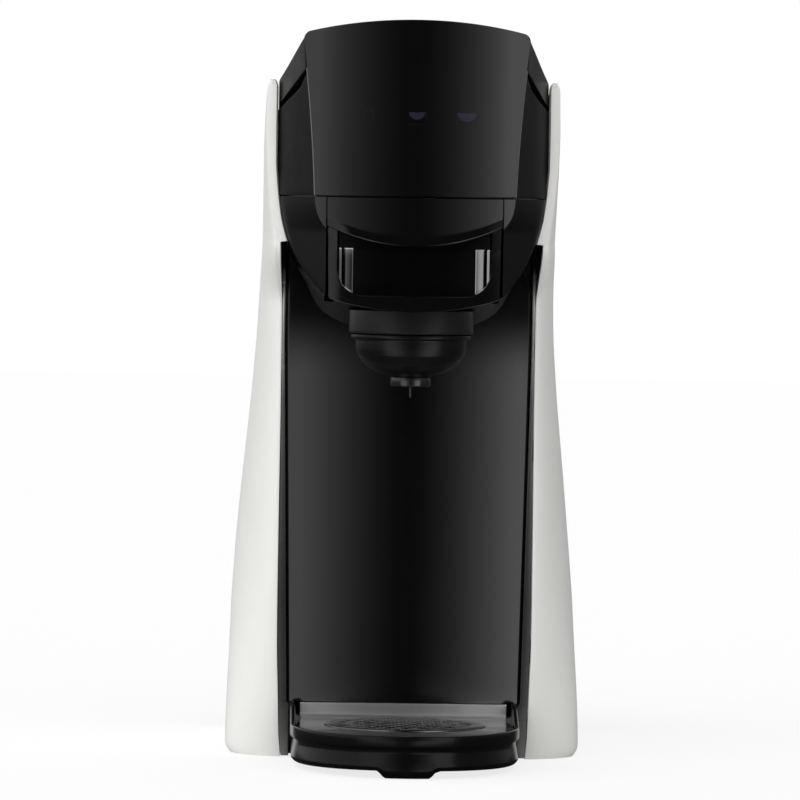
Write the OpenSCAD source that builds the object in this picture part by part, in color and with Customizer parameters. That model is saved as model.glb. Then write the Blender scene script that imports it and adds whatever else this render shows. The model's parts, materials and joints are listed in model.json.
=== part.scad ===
// Pod coffee machine, free standing. Units are millimetres, +Z is up and the front faces -Y.
// The origin is on the table, in the middle of the machine's width and depth.

/* [Overall] */
// Depth from the tray's nose to the back of the water tank
depth = 350; // [335:1:365]
// Height of the crown of the head
crown_z = 316.4; // [312:0.2:320]
// Width over the side shells near the table
body_w = 154; // [150:1:160]
// Width over the side shells at the head
arm_w = 126.8; // [125.6:0.2:130]

/* [Reach] */
// How far the drip tray stands out in front of the column
tray_l = 104; // [98:1:108]
// How far the head overhangs the column
head_reach = 104; // [102:1:106]
// How far the brewing axis stands in front of the column
spout_reach = 52; // [50:1:53]
// How far the shells' arms reach forward beside the head
arm_reach = 40; // [36:1:44]

/* [Head] */
// Height of the seam between the upper and the lower head
split_z = 242.6; // [241:0.2:244]
// Width of the front panel at the crown
panel_top_w = 94.6; // [92:0.2:97]
// Width of the front panel at the seam
panel_low_w = 83.8; // [82:0.2:86]
// From the outside of an arm to the side of the head
arm_side = 6.4; // [6:0.1:7]
// Radius of the front panel seen from above
panel_r = 110; // [100:1:130]
// Thickness of the front panel
panel_t = 3; // [2.5:0.1:3.4]
// Radius of the crown seen from the front
crown_r = 202; // [180:1:240]
// Slope of the crown down to the back, in degrees
crown_slope = 14.8; // [14:0.1:15.2]
// Wall of the head's housings
head_wall = 2.5; // [2:0.1:2.8]

/* [Lever] */
// Height of the lever's pivot
pivot_z = 267; // [266:0.2:268]
// Distance of the lever's pivot behind the column's front
pivot_back = 10; // [8:0.5:11]
// Radius of the lever's hinge barrel
barrel_r = 9.5; // [8.5:0.1:10]
// Diameter of the lever's shaft
shaft_d = 6; // [5:0.1:7]
// How far the lever lifts the piston
lift = 10; // [8:0.5:10.5]
// How far the lever opens, in degrees
lever_open = 65; // [60:1:66]

/* [Brewing] */
// Diameter of the piston
piston_d = 44; // [42:0.5:45]
// Outside diameter of the capsule cup
cup_d = 47; // [45:0.5:48]
// Wall of the capsule cup
cup_wall = 1.8; // [1.2:0.1:2.2]
// Width of the capsule drawer
drawer_w = 73.4; // [72:0.2:74.6]
// Height of the drawer's lower edge
drawer_z = 194.7; // [193.8:0.1:195.2]
// Height of the floor that the drawer slides on
floor_z = 198.1; // [197.4:0.1:198.6]
// Diameter of the guide posts
post_d = 6; // [5:0.1:7]

/* [Spout] */
// Diameter of the spout's collar
collar_d = 52.6; // [50:0.2:54]
// Height of the collar's lower edge
collar_z = 184.7; // [183:0.1:186]
// Diameter of the bowl under the collar
bowl_d = 47.2; // [45:0.2:49]
// Height of the bowl's lower end
bowl_z = 166.6; // [165:0.1:168]
// Diameter of the nozzle
nozzle_d = 17.1; // [16:0.1:18.4]
// Length of the outlet pin
pin_l = 3.5; // [2.5:0.1:5]

/* [Column] */
// Width of the column at the top
column_w = 108; // [106.5:0.2:108.4]
// Width of the column at the tray
column_low_w = 100.4; // [98:0.2:102]
// Height of the column's lower edge
column_z = 24.2; // [23.5:0.1:26]
// Radius of the column's face seen from above
column_r = 487; // [430:1:600]
// Thickness of the side shells
shell_t = 3.2; // [2.6:0.1:3.6]
// Wall of the chassis
chassis_t = 3; // [2.5:0.1:3.6]

/* [Drip tray] */
// Width of the drip tray
tray_w = 97.8; // [95:0.2:98.6]
// Height of the tray's rim
rim_z = 17.8; // [17:0.1:19]
// Height of the tray's side rails at the column
rail_z = 24.6; // [23:0.1:26]
// Wall of the tray
tray_t = 3; // [2.4:0.1:3.2]
// Diameter of the round grille
grille_d = 68.4; // [64:0.2:70]
// Diameter of the grille's holes
grille_hole_d = 4; // [3:0.1:4.6]

/* [Water tank] */
// Width of the water tank
tank_w = 112; // [104:1:118]
// Height of the water tank's rim
tank_rim_z = 258; // [240:1:262]
// Wall of the water tank
tank_t = 2.2; // [1.8:0.1:3]

/* [Hidden] */

$fn = 64;
seat = 0.2;      // gap between pieces that rest on each other
run = 0.05;      // radial clearance of a running fit
seam = 0.6;      // visible gap between covers
big = 400;       // longer than the machine, for cuts that go right through

// Places along the depth
front_y = -depth / 2;
rear_y = depth / 2;
column_y = front_y + tray_l + 3;
head_y = column_y - head_reach;
spout_y = column_y - spout_reach;
arm_y = column_y - arm_reach;
pivot_y = column_y + pivot_back;
flange_y = column_y + 12;
edge_y = column_y + 2;
back_y = rear_y - 82;
panel_axis_y = head_y + panel_r;
head_corner_y = head_y + 11;
head_w = arm_w - 2 * arm_side;
block_y = back_y - 59;
meter_y = back_y - 33;

// Heights
base_z = 3.1;
base_t = 3;
chassis_z = base_z + base_t;
chassis_top = 234;
low_top_z = split_z - seam / 2;
collar_top_z = 222.3;
crown_front_y = head_y + 2;

column_full_z = 180;   // the column has its full width from here up

// Half width of the column at a height.
function column_edge(z) = let (t = (z - column_z) / (column_full_z - column_z))
    column_low_w / 2 + (column_w - column_low_w) / 2 * min(1, max(0, t));
// A soft step from 0 to 1.
function smooth(t) = let (u = min(1, max(0, t))) (1 - cos(180 * u)) / 2;

// ---------------------------------------------------------------- helpers

// A front view outline (X, Z), made solid from y0 to y1.
module along_y(y0, y1) {
    translate([0, y1, 0]) rotate([90, 0, 0]) linear_extrude(y1 - y0) children();
}

// A side view outline (Y, Z), made solid over a width, about X = at.
module along_x(w, at = 0) {
    translate([at, 0, 0]) rotate([90, 0, 90]) linear_extrude(w, center = true) children();
}

// A box between two corners.
module span(low, high) {
    translate(low) cube(high - low);
}

// A cylinder along X, centred on x.
module rod_x(x, y, z, r, l) {
    translate([x, y, z]) rotate([0, 90, 0]) cylinder(r = r, h = l, center = true);
}

// A cylinder along Y that starts at y.
module rod_y(x, y, z, r, l) {
    translate([x, y, z]) rotate([-90, 0, 0]) cylinder(r = r, h = l);
}

// The points of a path with each bend rounded over the nearest 6 mm of its two runs.
function rounded(path, reach = 6) = [path[0], for (i = [1:1:len(path) - 2]) let (
    back = path[i - 1] - path[i], on = path[i + 1] - path[i],
    a = path[i] + back * min(reach / norm(back), 0.45), b = path[i] + on * min(reach / norm(on), 0.45))
    for (t = [0:0.25:1]) a * (1 - t) ^ 2 + path[i] * 2 * t * (1 - t) + b * t ^ 2, path[len(path) - 1]];

// A hose of 10 sides along a path.
module hose(path, r, sides = 10) {
    points = rounded(path);
    last = len(points) - 1;
    rings = [for (i = [0:last]) let (
        along = points[min(last, i + 1)] - points[max(0, i - 1)],
        side = cross(along, [0.35, 0.2, 0.9]), out = side / norm(side),
        up = cross(out, along) / norm(along))
        for (k = [0:sides - 1]) points[i] + r * (out * cos(k * 360 / sides) + up * sin(k * 360 / sides))];
    walls = [for (i = [0:last - 1]) for (k = [0:sides - 1]) let (a = i * sides + k, b = i * sides + (k + 1) % sides)
        [a, a + sides, b + sides, b]];
    ends = [[for (k = [0:sides - 1]) k], [for (k = [sides - 1:-1:0]) last * sides + k]];
    polyhedron(points = rings, faces = concat(walls, ends), convexity = 6);
}

// The same piece on the left and on the right.
module both_sides() {
    children();
    mirror([1, 0, 0]) children();
}

// ---------------------------------------------------------------- side shells

// Height of the shells' top edge at a depth.
function shell_top(y) = max(292 + (arm_y - y) * 0.264, 275.5 - (y + 37) * 0.07);
// Half width of a shell's outside at a height.
function shell_half(z) = arm_w / 2 + (body_w - arm_w) / 2 * (1 - smooth((z - 20) / 220));
// Half width and depth of a shell's front edge at a height.
function shell_edge_x(z) = 54.4 + (arm_w / 2 - 1.1 - 54.4) * smooth((z - 210) / 52);
function shell_edge_y(z) = edge_y + (arm_y - edge_y) * smooth((z - 205) / 27);
// Depth at which a shell is widest.
function shell_wide_y(z) = 20 - 40 * smooth((z - 170) / 60) - 35 * (1 - smooth(z / 110));

// Half width inside a shell behind its widest place.
function shell_inside(y, z) = let (wide = shell_wide_y(z))
    shell_half(z) - 2.5 * max(0, (y - wide) / (back_y - wide)) ^ 2 - shell_t;

shell_steps = 12;
shell_rows = 24;
// A point of the shell's outside, u from 0 at the front edge to 1 at the rear, t from 0 at the foot to 1.
function shell_xz(u, t) = let (
    z_guess = 1.2 + t * 272,
    bend = 0.75,
    ye = shell_edge_y(z_guess),
    yw = max(shell_wide_y(z_guess), ye + 30),
    q = min(1, u / bend),
    y = u < bend ? ye + (yw - ye) * (1 - cos(90 * q)) : yw + (back_y - yw) * (u - bend) / (1 - bend),
    z = 1.2 + t * (shell_top(y) - 1.2),
    xe = shell_edge_x(z),
    xo = shell_half(z) - 2.5 * max(0, (y - yw) / (back_y - yw)) ^ 2,
    foot = 3 * (1 - min(1, z / 8)) ^ 2)
    [xe + (xo - xe) * sin(90 * q) ^ 1.25 - foot * sin(90 * q), y, z];
function shell_inner(u, t) = let (
    a = shell_xz(max(0, u - 0.02), t), b = shell_xz(min(1, u + 0.02), t),
    d = [b[0] - a[0], b[1] - a[1]] / norm([b[0] - a[0], b[1] - a[1]]),
    p = shell_xz(u, t))
    u < 0.01 ? [p[0], p[1] + shell_t, p[2]]
        : [max(column_w / 2 + 0.5, p[0] - shell_t * d[1]), p[1] + shell_t * d[0], p[2]];

// One side shell: a curved wall from the arm beside the head down to the table.
module side_shell() {
    ring = 2 * (shell_steps + 1);
    points = [for (j = [0:shell_rows]) for (i = [0:ring - 1]) let (
        t = j / shell_rows, k = i <= shell_steps ? i : ring - 1 - i, u = k / shell_steps)
        i <= shell_steps ? shell_xz(u, t) : shell_inner(u, t)];
    sides = [for (j = [0:shell_rows - 1]) for (i = [0:ring - 1]) let (
        n = (i + 1) % ring, a = j * ring + i, b = j * ring + n)
        each [[a, a + ring, b + ring], [a, b + ring, b]]];
    foot = [for (i = [0:shell_steps - 1]) let (a = i, b = i + 1, c = ring - 2 - i, d = ring - 1 - i)
        each [[a, b, c], [a, c, d]]];
    base = shell_rows * ring;
    top = [for (f = foot) [f[2] + base, f[1] + base, f[0] + base]];
    polyhedron(points = points, faces = concat(sides, foot, top), convexity = 6);
}

module right_shell() {
    color("whitesmoke") side_shell();
}

module left_shell() {
    color("whitesmoke") mirror([1, 0, 0]) side_shell();
}

// The strip that fills the wedge between the column and a shell.
module trim_strip() {
    outer = 54.4 - 0.35;
    along_y(edge_y, flange_y)
        polygon([[column_edge(column_z) + 0.35, 2.5], [outer - 0.5, 2.5], [outer, 60], [outer, 110],
            [column_edge(110) + 0.35, 110]]);
}

module right_trim() {
    color("dimgray") trim_strip();
}

module left_trim() {
    color("dimgray") mirror([1, 0, 0]) trim_strip();
}

// ---------------------------------------------------------------- column, base and chassis

// The column's outline seen from the front, drawn in by inset.
module column_outline(inset, low = column_z, high = collar_top_z) {
    polygon([for (s = [-1, 1]) for (z = s < 0 ? [low, column_full_z, high] : [high, column_full_z, low])
        [s * (column_edge(z) - inset), z]]);
}

module column_body(extra) {
    translate([0, column_y + column_r, 0]) cylinder(r = column_r + extra, h = big, $fn = 240);
}

module column_cover() {
    color("black") difference() {
        intersection() {
            along_y(column_y - 5, flange_y) column_outline(0);
            column_body(0);
        }
        intersection() {
            along_y(column_y - 6, flange_y + 1)
                column_outline(chassis_t, column_z + chassis_t, collar_top_z - chassis_t);
            column_body(-chassis_t);
        }
    }
}

foot_places = [[-50, column_y + 26], [50, column_y + 26], [-50, rear_y - 22], [50, rear_y - 22]];
foot_d = 15;

module base_plate() {
    color("black") difference() {
        union() {
            translate([0, 0, base_z]) linear_extrude(base_t) both_sides()
                polygon([[0, flange_y], [54, flange_y], [61, flange_y + 8], [66, flange_y + 22], [67, 0], [67, back_y],
                    [0, back_y]]);
            span([-tank_w / 2, back_y, base_z], [tank_w / 2, rear_y - 2, chassis_z]);
        }
        for (p = screw_places) translate([p[0], p[1], 0]) cylinder(d = screw_d + 0.2, h = 20);
    }
}

module feet() {
    color("dimgray") for (p = foot_places) translate([p[0], p[1], 0])
        cylinder(d1 = foot_d - 1, d2 = foot_d, h = base_z);
}

screw_d = 4;
screw_x = 38;
screw_rows = [column_y + 40, back_y - 73, back_y - 14];
screw_places = [for (x = [-screw_x, screw_x]) for (y = screw_rows) [x, y]];
boss_d = 9;
boss_h = 14;

module base_screws() {
    color("silver") for (p = screw_places) translate([p[0], p[1], 0]) {
        translate([0, 0, 1.1]) cylinder(d = 7.5, h = 2);
        translate([0, 0, 3]) cylinder(d = screw_d, h = 12);
    }
}

rear_t = 2.3;
rear_top_z = pivot_z - 5;
chassis_w = 102;
chassis_rear = back_y - rear_t - seat;
shelf_z = 150;

// The inner frame: two side walls, a rear wall, front flanges, a shelf and screw bosses.
module chassis() {
    color("slategray") difference() {
        union() {
            both_sides() {
                span([chassis_w / 2 - chassis_t, flange_y, chassis_z], [chassis_w / 2, chassis_rear, chassis_top]);
                span([chassis_w / 2 - 4, flange_y, chassis_z], [54, flange_y + chassis_t, chassis_top]);
                for (y = [10, 60], z = [40, 130]) let (reach = shell_inside(y, z) - 0.7)
                    rod_x((chassis_w / 2 - 1 + reach) / 2, y, z, 4, reach - chassis_w / 2 + 1);
            }
            span([-chassis_w / 2, chassis_rear - chassis_t, chassis_z], [chassis_w / 2, chassis_rear, chassis_top]);
            span([-chassis_w / 2 + 1, block_y - 14, shelf_z], [chassis_w / 2 - 1, back_y - 4, shelf_z + chassis_t]);
            for (p = screw_places) translate([p[0], p[1], chassis_z]) cylinder(d = boss_d, h = boss_h);
            both_sides() for (y = screw_rows)
                span([screw_x, y - 1.5, chassis_z], [chassis_w / 2 - 1, y + 1.5, chassis_z + boss_h - 4]);
        }
        for (p = screw_places) translate([p[0], p[1], 0]) cylinder(d = screw_d, h = 16);
        rod_y(0, back_y - 10, 16, 4.4, 20);
        rod_y(34, back_y - 10, 14, 5.5, 20);
    }
}

cover_screw_x = 42;
cover_screw_z = [rear_top_z - 232, rear_top_z - 42];

module rear_cover() {
    color("black") difference() {
        span([-arm_w / 2 + 6, back_y - rear_t, chassis_z], [arm_w / 2 - 6, back_y, rear_top_z]);
        rod_y(0, back_y - 10, 16, 4.4, 20);
        rod_y(34, back_y - 10, 14, 5.5, 20);
        for (x = [-cover_screw_x, cover_screw_x], z = cover_screw_z) rod_y(x, back_y - 10, z, 1.6, 20);
    }
}

module cover_screws() {
    color("silver") for (x = [-cover_screw_x, cover_screw_x], z = cover_screw_z) {
        rod_y(x, back_y - rear_t, z, 1.55, rear_t);
        rod_y(x, back_y, z, 3, 1.4);
    }
}

// ---------------------------------------------------------------- head

// The head seen from above at one height; half is the half width of its front corners.
module head_plan(half, inset = 0, back = pivot_y + 13) {
    intersection() {
        polygon([[-half + inset, head_corner_y - 20], [half - inset, head_corner_y - 20],
            [half - inset, head_corner_y], [head_w / 2 - inset, arm_y + 2], [head_w / 2 - inset, back],
            [-head_w / 2 + inset, back], [-head_w / 2 + inset, arm_y + 2], [-half + inset, head_corner_y]]);
        translate([0, panel_axis_y]) circle(r = panel_r - inset, $fn = 160);
    }
}

// The head's solid, narrower at the seam than at the crown.
module head_solid(inset = 0, front = 0, z0 = split_z, z1 = crown_z + 3, back = pivot_y + 13) {
    intersection() {
        hull() {
            translate([0, 0, split_z]) linear_extrude(0.01) head_plan(panel_low_w / 2, inset, back);
            translate([0, 0, crown_z + 3]) linear_extrude(0.01) head_plan(panel_top_w / 2, inset, back);
        }
        span([-big / 2, head_y - 10, z0], [big / 2, back + 1, z1]);
        translate([0, panel_axis_y, 0]) cylinder(r = panel_r - front, h = big, $fn = 160);
    }
}

// The arched crown, sloping to the back, drawn in by depth d.
module crown(d = 0) {
    translate([0, crown_front_y, crown_z]) rotate([-crown_slope, 0, 0]) translate([0, 0, -crown_r])
        rotate([90, 0, 0]) cylinder(r = crown_r - d, h = 2 * big, center = true, $fn = 240);
}

// The side view of the finger gap under the lever: the lever's lower edge and the housing's upper edge.
lever_low = [[head_y, 299.6], [arm_y, 281.9], [pivot_y - 10, 271.4]];
house_top = [[head_y, 297.4], [head_y + 16, 291.8], [head_y + 24, 288.4], [head_y + 39, 285],
    [arm_y, 279.7], [pivot_y - 18, 270]];

knuckle_r = 19.5;

module lever() {
    color("black") difference() {
        union() {
            intersection() {
                difference() {
                    head_solid(0, panel_t + 0.4, 250, crown_z + 1);
                    intersection() {
                        head_solid(2.6, panel_t + 3, 250, crown_z + 1);
                        crown(2.6);
                        along_x(big) polygon([[head_y, split_z - 2.6], [pivot_y - 12, split_z - 2.6],
                            [pivot_y - 12, crown_z + 14], [head_y, crown_z + 14]]);
                    }
                }
                crown();
                along_x(big) polygon(concat(lever_low,
                    [[pivot_y, pivot_z], [pivot_y, crown_z + 24], [head_y, crown_z + 24]]));
            }
            intersection() {
                rod_x(0, pivot_y, pivot_z, knuckle_r, head_w);
                span([-big / 2, pivot_y - 0.01, pivot_z + 1.5], [big / 2, pivot_y + 40, 300]);
                crown();
            }
            rod_x(0, pivot_y, pivot_z, barrel_r, head_w - 6);
        }
        rod_x(0, pivot_y, pivot_z, shaft_d / 2 + run, head_w + 10);
        both_sides() rod_x(head_w / 2, pivot_y, pivot_z, barrel_r, 6);
    }
}

module lever_shaft() {
    color("silver") rod_x(0, pivot_y, pivot_z, shaft_d / 2, head_w - 0.4);
}

cam_x = 40;
cam_t = 4;
pin_r = 2.5;
slot_r1 = 23.5;
slot_r0 = slot_r1 - lift;

// A point of the cam's slot: the pin is at radius r when the lever has turned by a.
function slot_middle(a) = (slot_r1 - lift * a / lever_open) * [sin(a), -cos(a)];
// A point of one of the slot's walls, side millimetres off its middle.
function slot_point(a, side) = let (on = slot_middle(a + 0.5) - slot_middle(a - 0.5))
    slot_middle(a) + side * [on[1], -on[0]] / norm(on);

module lever_cams() {
    grow = pin_r + 0.08;
    color("silver") both_sides() difference() {
        along_x(cam_t, cam_x) translate([pivot_y, pivot_z]) difference() {
            polygon(concat([for (a = [-16:3:lever_open + 24]) 28.3 * [sin(a), -cos(a)]],
                [for (a = [lever_open + 24:-3:-16]) (barrel_r + 0.02) * [sin(a), -cos(a)]]));
            polygon(concat([for (a = [-8:3:lever_open + 14]) slot_point(a, grow)],
                [for (a = [lever_open + 14:-3:-8]) slot_point(a, -grow)]));
        }
    }
}

module upper_housing() {
    ear = 7;
    color("black") difference() {
        union() {
            difference() {
                intersection() {
                    head_solid(0, panel_t + seat, split_z + seam / 2, 300);
                    along_x(big) polygon(concat(house_top, [[pivot_y - 18, 240], [head_y, 240]]));
                }
                intersection() {
                    head_solid(head_wall, panel_t + seat + head_wall, 230, 300);
                    along_x(big) polygon(concat([for (p = house_top) p - [0, 2.2]],
                        [[pivot_y + 30, 268], [pivot_y + 30, 230], [head_y, 230]]));
                }
            }
            both_sides() intersection() {
                span([head_w / 2 - head_wall, pivot_y - 20, split_z + seam / 2], [head_w / 2, pivot_y + ear, 280]);
                along_x(big) union() {
                    translate([pivot_y, pivot_z]) circle(r = ear);
                    polygon([[pivot_y - 20, 240], [pivot_y - 2, 240], [pivot_y - 2, pivot_z], [pivot_y - 9, pivot_z - 1],
                        [pivot_y - 20, 266]]);
                }
            }
            both_sides() span([head_w / 2 - head_wall, pivot_y - 40, low_top_z], [head_w / 2 - 1, pivot_y - 4, split_z + 2]);
        }
        rod_x(0, pivot_y, pivot_z, shaft_d / 2 + 0.02, big);
    }
}

module front_panel() {
    color("black") intersection() {
        difference() {
            translate([0, panel_axis_y, split_z + seam / 2]) cylinder(r = panel_r, h = 90, $fn = 160);
            translate([0, panel_axis_y, split_z]) cylinder(r = panel_r - panel_t, h = 100, $fn = 160);
        }
        along_y(head_y - 5, head_y + 20)
            polygon([[-panel_low_w / 2, split_z], [panel_low_w / 2, split_z],
                [panel_top_w / 2, crown_z], [-panel_top_w / 2, crown_z]]);
        crown();
    }
}

module touch_board() {
    board_y = panel_axis_y - sqrt((panel_r - panel_t - seat - head_wall) ^ 2 - 36 ^ 2) + 0.15;
    color("green") union() {
        span([-36, board_y, 262], [36, board_y + 1.6, 286]);
        for (x = [-21, 0, 21]) span([x - 2.5, board_y - 1.5, 274], [x + 2.5, board_y, 279]);
    }
}

// The lower head's outline seen from the front: an ellipse at each side, b deep.
module low_outline(b, half) {
    polygon([for (s = [1, -1]) for (i = [0:12]) let (a = s > 0 ? i * 7.5 : (12 - i) * 7.5)
        [s * (18 + (half - 18) * cos(a)), low_top_z - b * sin(a)]]);
}

module lower_housing() {
    gap = 0.4;
    color("black") difference() {
        intersection() {
            hull() {
                along_y(head_y + 20, head_y + 21) low_outline(44, head_w / 2);
                along_y(column_y + 10.9, column_y + 11.9) low_outline(60, head_w / 2 - 1);
            }
            linear_extrude(big) head_plan(panel_low_w / 2, 0, flange_y);
        }
        intersection() {
            span([-big / 2, column_y - 5, 0], [big / 2, column_y + 40, collar_top_z + seat]);
            column_body(seat);
        }
        span([-drawer_w / 2 - gap, head_y - 5, floor_z], [drawer_w / 2 + gap, column_y - 12, split_z + 1]);
        span([-drawer_w / 2 - gap, head_y - 5, 170], [drawer_w / 2 + gap, spout_y - 26, split_z + 1]);
        span([-56, flange_y - 22, collar_top_z + 4], [56, flange_y + 1, split_z + 1]);
        translate([0, spout_y, 170]) cylinder(r = 6, h = 40);
        translate([0, spout_y, 170]) cylinder(d = collar_d + 0.1, h = floor_z - 3 - 170);
    }
}

cover_y = pivot_y + knuckle_r + 1;   // where the cover's roof starts behind the lever
cover_roof_z = pivot_z + 14.5;
cover_low_z = pivot_z - 12;

// The arched roof behind the lever, drawn in by depth d.
module cover_roof(d) {
    translate([0, cover_y, cover_roof_z]) rotate([-4, 0, 0]) translate([0, 0, -crown_r])
        rotate([90, 0, 0]) cylinder(r = crown_r - d, h = big, center = true, $fn = 240);
}

module top_cover() {
    color("black") difference() {
        intersection() {
            span([-head_w / 2, pivot_y + 18, cover_low_z], [head_w / 2, back_y, crown_z]);
            cover_roof(0);
        }
        intersection() {
            span([-head_w / 2 + head_wall, pivot_y, cover_low_z - 5],
                [head_w / 2 - head_wall, back_y - rear_t, crown_z]);
            cover_roof(head_wall);
        }
        rod_x(0, pivot_y, pivot_z, knuckle_r + 1.2, big);
        span([-arm_w / 2, chassis_rear, split_z], [arm_w / 2, back_y + 1, rear_top_z + seat]);
    }
}

// ---------------------------------------------------------------- brewing unit

frame_z = split_z + 1.2;
yoke_z = 252;
post_x = 33;

module brew_frame() {
    color("silver") difference() {
        intersection() {
            translate([0, 0, frame_z]) linear_extrude(3) head_plan(panel_low_w / 2, head_wall + 0.25);
            span([-60, spout_y - 27, 240], [60, spout_y + 27, 260]);
        }
        translate([0, spout_y, 240]) cylinder(d = piston_d + 0.8, h = 20);
        both_sides() translate([post_x, spout_y, 240]) cylinder(d = post_d, h = 20);
    }
}

module guide_posts() {
    color("silver") both_sides() translate([post_x, spout_y, frame_z]) cylinder(d = post_d, h = 277 - frame_z);
}

module brew_yoke() {
    arm_x = 30;
    color("slategray") difference() {
        union() {
            translate([0, spout_y, yoke_z]) cylinder(d = piston_d, h = 6);
            span([-39, spout_y - 8, yoke_z], [39, spout_y + 8, yoke_z + 6]);
            both_sides() along_x(6, arm_x) polygon([[spout_y - 8, yoke_z], [spout_y - 8, yoke_z + 6],
                [pivot_y - 24, yoke_z + 5.9], [pivot_y - 12, pivot_z - slot_r1 + 4],
                [pivot_y + 3.2, pivot_z - slot_r1 + 3.2], [pivot_y + 3.2, pivot_z - slot_r1 - 3.3],
                [pivot_y - 12, pivot_z - slot_r1 - 3.3], [spout_y + 30, yoke_z]]);
        }
        both_sides() translate([post_x, spout_y, 240]) cylinder(r = post_d / 2 + run, h = 30);
        translate([0, spout_y, 240]) cylinder(r = 3, h = 30);
        both_sides() rod_x(arm_x, pivot_y, pivot_z - slot_r1, pin_r, 10);
    }
}

module yoke_pins() {
    color("silver") both_sides() rod_x(35, pivot_y, pivot_z - slot_r1, pin_r, 16);
}

feed_r = 2;

module brew_piston() {
    color("silver") difference() {
        translate([0, spout_y, 227.8]) cylinder(d = piston_d, h = yoke_z - 227.8);
        translate([0, spout_y, 229.6]) cylinder(r = feed_r + run, h = 40);
        for (a = [0, 120, 240]) rotate_at(a) translate([8, 0, 220]) cylinder(r = 0.8, h = 11.8);
    }
}

module rotate_at(a) {
    translate([0, spout_y, 0]) rotate(a) children();
}

module piston_seal() {
    color("orangered") translate([0, spout_y, 226.5]) difference() {
        cylinder(d = piston_d - 2, h = 1.3);
        translate([0, 0, -1]) cylinder(d = piston_d - 14, h = 4);
    }
}

module feed_tube() {
    color("silver") union() {
        translate([0, spout_y, 240.5]) cylinder(r = feed_r, h = 30);
        translate([0, spout_y, 268.6]) cylinder(r = 4.5, h = 8);
    }
}

module drawer_front() {
    back = spout_y - 26.4;
    color("black") difference() {
        intersection() {
            translate([0, panel_axis_y, drawer_z]) cylinder(r = panel_r, h = 60, $fn = 160);
            span([-drawer_w / 2, head_y - 5, drawer_z], [drawer_w / 2, back, low_top_z]);
            along_y(head_y - 6, back + 1) union() {
                translate([0, drawer_z + 122]) circle(r = 122, $fn = 200);
                polygon([[-40, 206], [40, 206], [40, 250], [-40, 250]]);
            }
        }
        along_y(head_y - 10, head_y + 17.5) recess_outline();
    }
}

// The half-moon finger recess seen from the front.
module recess_outline() {
    intersection() {
        polygon([[-32, 190], [32, 190], [32, 222.5], [-32, 222.5]]);
        translate([0, 233]) scale([1, 0.9]) circle(r = 34.6, $fn = 96);
    }
}

module handle_plate() {
    color("silver") intersection() {
        along_y(head_y - 10, head_y + 17.3) intersection() {
            polygon([[-31.7, 190], [31.7, 190], [31.7, 222.2], [-31.7, 222.2]]);
            translate([0, 233]) scale([1, 0.9]) circle(r = 34.2, $fn = 96);
        }
        difference() {
            translate([0, head_y + 10 + 60, 190]) cylinder(r = 60, h = 40, $fn = 160);
            translate([0, head_y + 10 + 60, 189]) cylinder(r = 50, h = 50, $fn = 160);
        }
        span([-40, head_y, 190], [40, head_y + 17.3, 230]);
    }
}

cup_low = floor_z + 2.4;
cup_rim_z = floor_z + 7.9;
cup_tall = 25.7;

module drawer_carriage() {
    color("dimgray") difference() {
        span([-drawer_w / 2 + 3.5, spout_y - 26.4, floor_z + 0.3], [drawer_w / 2 - 3.5, spout_y + 36, cup_rim_z]);
        translate([0, spout_y, 190]) cylinder(d = cup_d + 0.4, h = 30);
    }
}

module capsule_cup() {
    color("silver") translate([0, spout_y, 0]) difference() {
        union() {
            translate([0, 0, cup_low]) cylinder(d = cup_d, h = cup_tall);
            translate([0, 0, cup_rim_z]) cylinder(d = cup_d + 5, h = 2);
        }
        translate([0, 0, cup_low + cup_wall]) cylinder(d = cup_d - 2 * cup_wall, h = cup_tall);
        translate([0, 0, 190]) cylinder(r = 4, h = 30);
    }
}

// ---------------------------------------------------------------- spout

module spout_collar() {
    color("black") translate([0, spout_y, 0]) difference() {
        translate([0, 0, collar_z]) cylinder(d = collar_d, h = floor_z - 3 - collar_z);
        translate([0, 0, collar_z - 1]) cylinder(d = collar_d - 8, h = 7);
        translate([0, 0, collar_z]) cylinder(r = 6, h = 30);
    }
}

module spout_bowl() {
    ring_z = collar_z - 1.8;
    r = bowl_d / 2;
    h = ring_z - bowl_z;
    color("black") translate([0, spout_y, 0]) difference() {
        rotate_extrude() polygon([[0, bowl_z], [nozzle_d / 2 + 0.4, bowl_z],
            for (a = [20:10:80]) [nozzle_d / 2 + (r - nozzle_d / 2) * sin(a) ^ 0.9, ring_z - 1 - (h - 1) * cos(a) ^ 0.9],
            [r, ring_z], [collar_d / 2 - 0.8, ring_z], [collar_d / 2 - 0.8, collar_z], [0, collar_z]]);
        rotate_extrude() polygon([[0, bowl_z + 2.2], [8, bowl_z + 2.2], [r - 4, bowl_z + 9], [r - 2.6, collar_z + 1],
            [0, collar_z + 1]]);
        translate([0, 0, bowl_z - 1]) cylinder(r = 6, h = 10);
    }
}

module nozzle() {
    low = bowl_z - 5.5;
    color("black") translate([0, spout_y, 0]) difference() {
        union() {
            translate([0, 0, low + 1.3]) cylinder(d = nozzle_d, h = 4.2);
            translate([0, 0, low]) cylinder(d = nozzle_d - 2.3, h = 2);
        }
        translate([0, 0, low + 1]) cylinder(r = 6, h = 10);
        for (a = [0, 120, 240]) rotate(a) translate([3.4, 0, low - 1]) cylinder(r = 1.4, h = 4);
    }
}

module outlet_pin() {
    color("silver") translate([0, spout_y, bowl_z - 5.5 - pin_l]) cylinder(r = 0.55, h = pin_l, $fn = 24);
}

// ---------------------------------------------------------------- drip tray

tray_z = 3;
tray_rear = column_y - 1;
plate_z = rim_z - 1.4;
grille_y = column_y - 38.5;

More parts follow.
